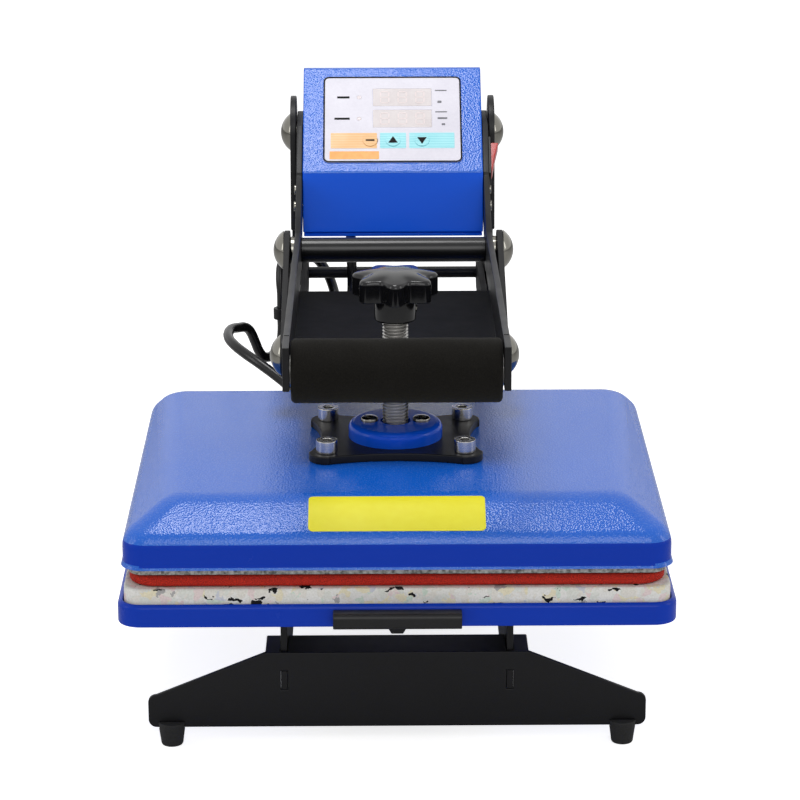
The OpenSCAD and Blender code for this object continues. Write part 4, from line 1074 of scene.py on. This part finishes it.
leads = {
    "upperLead": {
        "node": "heater_lead_upper", "moving": "lever", "firstMoves": True,
        "route": [
            (-29, 262, 231.7), (-29, 262, 221), (-28.7, 260.9, 210.4), (-28.3, 259.4, 199.9),
            (-28.3, 258.9, 189.2), (-29.1, 260.8, 178.8), (-30.9, 266.1, 169.8),
            (-33.4, 274.7, 164.2), (-36.1, 284.8, 163.2), (-38.5, 294.7, 166.2),
            (-40.8, 303.2, 172.1), (-43.5, 310.2, 179.7), (-47.8, 315.6, 187.8),
            (-54.5, 318.9, 195.3), (-63.8, 318.9, 200.3), (-73.2, 314.6, 200), (-78.6, 307.8, 194),
            (-79.5, 302.4, 185), (-78.8, 300, 174.7), (-78.8, 300, 164)],
    },
    "lowerLead": {
        "node": "heater_lead_lower", "moving": "swing_arm", "firstMoves": False,
        "route": [
            (-78.8, 300, 156), (-78.8, 300, 147), (-79.9, 298.3, 139.2), (-83.1, 293.5, 133.6),
            (-87.3, 287.1, 131.5), (-91.6, 280.6, 133.6), (-94.7, 275.8, 139.2),
            (-96.9, 272.5, 146.2), (-99.1, 269.2, 153.1), (-101.2, 266, 157.7),
            (-104, 261.7, 160.6), (-107.2, 256.9, 161.7), (-112.2, 246.5, 163.6),
            (-114, 234.5, 163.6), (-112.5, 222.5, 162.8), (-107.8, 210.8, 161.4),
            (-100.5, 200.5, 158.8), (-91.5, 191.8, 155), (-81.8, 184.6, 149.8),
            (-72.6, 177.9, 144.2), (-65.2, 169.6, 138.9), (-61, 158.5, 135.5), (-60, 152, 134.9),
            (-60, 144.5, 134.9)],
    },
}
leadRadius = 0.0035


def smoothRoute(route, perSpan=6):
    points = [Vector((x / 1000, y / 1000 + screwY, z / 1000)) for x, y, z in route]
    ends = [2 * points[0] - points[1]] + points + [2 * points[-1] - points[-2]]
    line = []
    for i in range(1, len(ends) - 2):
        before, a, b, after = ends[i - 1:i + 3]
        for step in range(perSpan):
            t = step / perSpan
            line.append(0.5 * (2 * a + (b - before) * t
                               + (2 * before - 5 * a + 4 * b - after) * t ** 2
                               + (3 * a - before - 3 * b + after) * t ** 3))
    return line + [points[-1]]


def buildLead(name):
    look = leads[name]
    line = smoothRoute(look["route"])
    curve = bpy.data.curves.new(name, "CURVE")
    curve.dimensions = "3D"
    curve.bevel_depth = leadRadius
    curve.bevel_resolution = 5
    curve.use_fill_caps = True
    spline = curve.splines.new("POLY")
    spline.points.add(len(line) - 1)
    for point, place in zip(spline.points, line):
        point.co = (*place, 1)
    piece = bpy.data.objects.new(name, curve)
    bpy.context.scene.collection.objects.link(piece)
    makeActive(piece)
    bpy.ops.object.convert(target="MESH")
    piece = named(name)
    recalculate()
    smoothByAngle(piece, softBelow["moulded"])
    dress(piece, leadSleeve)
    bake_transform(piece)
    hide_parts(look["node"])


for name in leads:
    buildLead(name)


# floor, lamps and world

studio = {
    "floor": 14.0, "floorColour": (0.92, 0.92, 0.92), "floorGloss": (0.7, 0.8),
    "top": {"place": (-0.12, 0.08, 1.5), "size": (0.5, 0.5), "power": 7.5},
    "front": {"place": (0.2, -2.3, 1.6), "size": (1.6, 1.2), "power": 15},
    "left": {"place": (-1.9, -0.5, 1.0), "size": (0.5, 1.2), "power": 5},
    "right": {"place": (1.9, -0.3, 1.0), "size": (0.5, 1.2), "power": 5},
    "target": (0, -0.02, 0.17), "ambient": 0.3, "floorLift": 0.78,
}


def buildFloor():
    clearSelection()
    bpy.ops.mesh.primitive_plane_add(size=studio["floor"], location=(0, 0, 0))
    floor = named("floor")
    material, tree, coords, shader = startMaterial("paleFloor")
    addSmudge(tree, shader, coords, "floor", *studio["floorGloss"])
    rays = addNode(tree, "LightPath", {}).outputs
    lift = maths(tree, "MULTIPLY", rays["Is Camera Ray"], studio["floorLift"])
    plug(tree, shader, {"Base Color": studio["floorColour"], "Specular IOR Level": 0.1,
                        "Emission Color": (1, 1, 1), "Emission Strength": lift})
    floor.data.materials.append(material)


def addLamp(name):
    look = studio[name]
    clearSelection()
    bpy.ops.object.light_add(type="AREA", location=look["place"])
    lamp = bpy.context.object
    lamp.name = name + "Lamp"
    lamp.data.shape = "RECTANGLE"
    lamp.data.size, lamp.data.size_y = look["size"]
    lamp.data.energy = look["power"]
    aim = Vector(studio["target"]) - lamp.location
    lamp.rotation_euler = aim.to_track_quat("-Z", "Y").to_euler()


def buildWorld():
    world = bpy.data.worlds.new("studioWorld")
    bpy.context.scene.world = world
    world.use_nodes = True
    tree = world.node_tree
    rays = addNode(tree, "LightPath", {}).outputs
    first = maths(tree, "MAXIMUM", rays["Is Camera Ray"], rays["Is Glossy Ray"])
    seen = maths(tree, "MAXIMUM", first, rays["Is Transmission Ray"])
    strength = remap(tree, seen, (0.0, 1.0), (studio["ambient"], 1.0))
    plug(tree, tree.nodes["Background"], {"Color": (1, 1, 1), "Strength": strength})


buildFloor()
for name in ("top", "front", "left", "right"):
    addLamp(name)
buildWorld()
bpy.context.scene.view_settings.view_transform = "Standard"
print("studio lit")
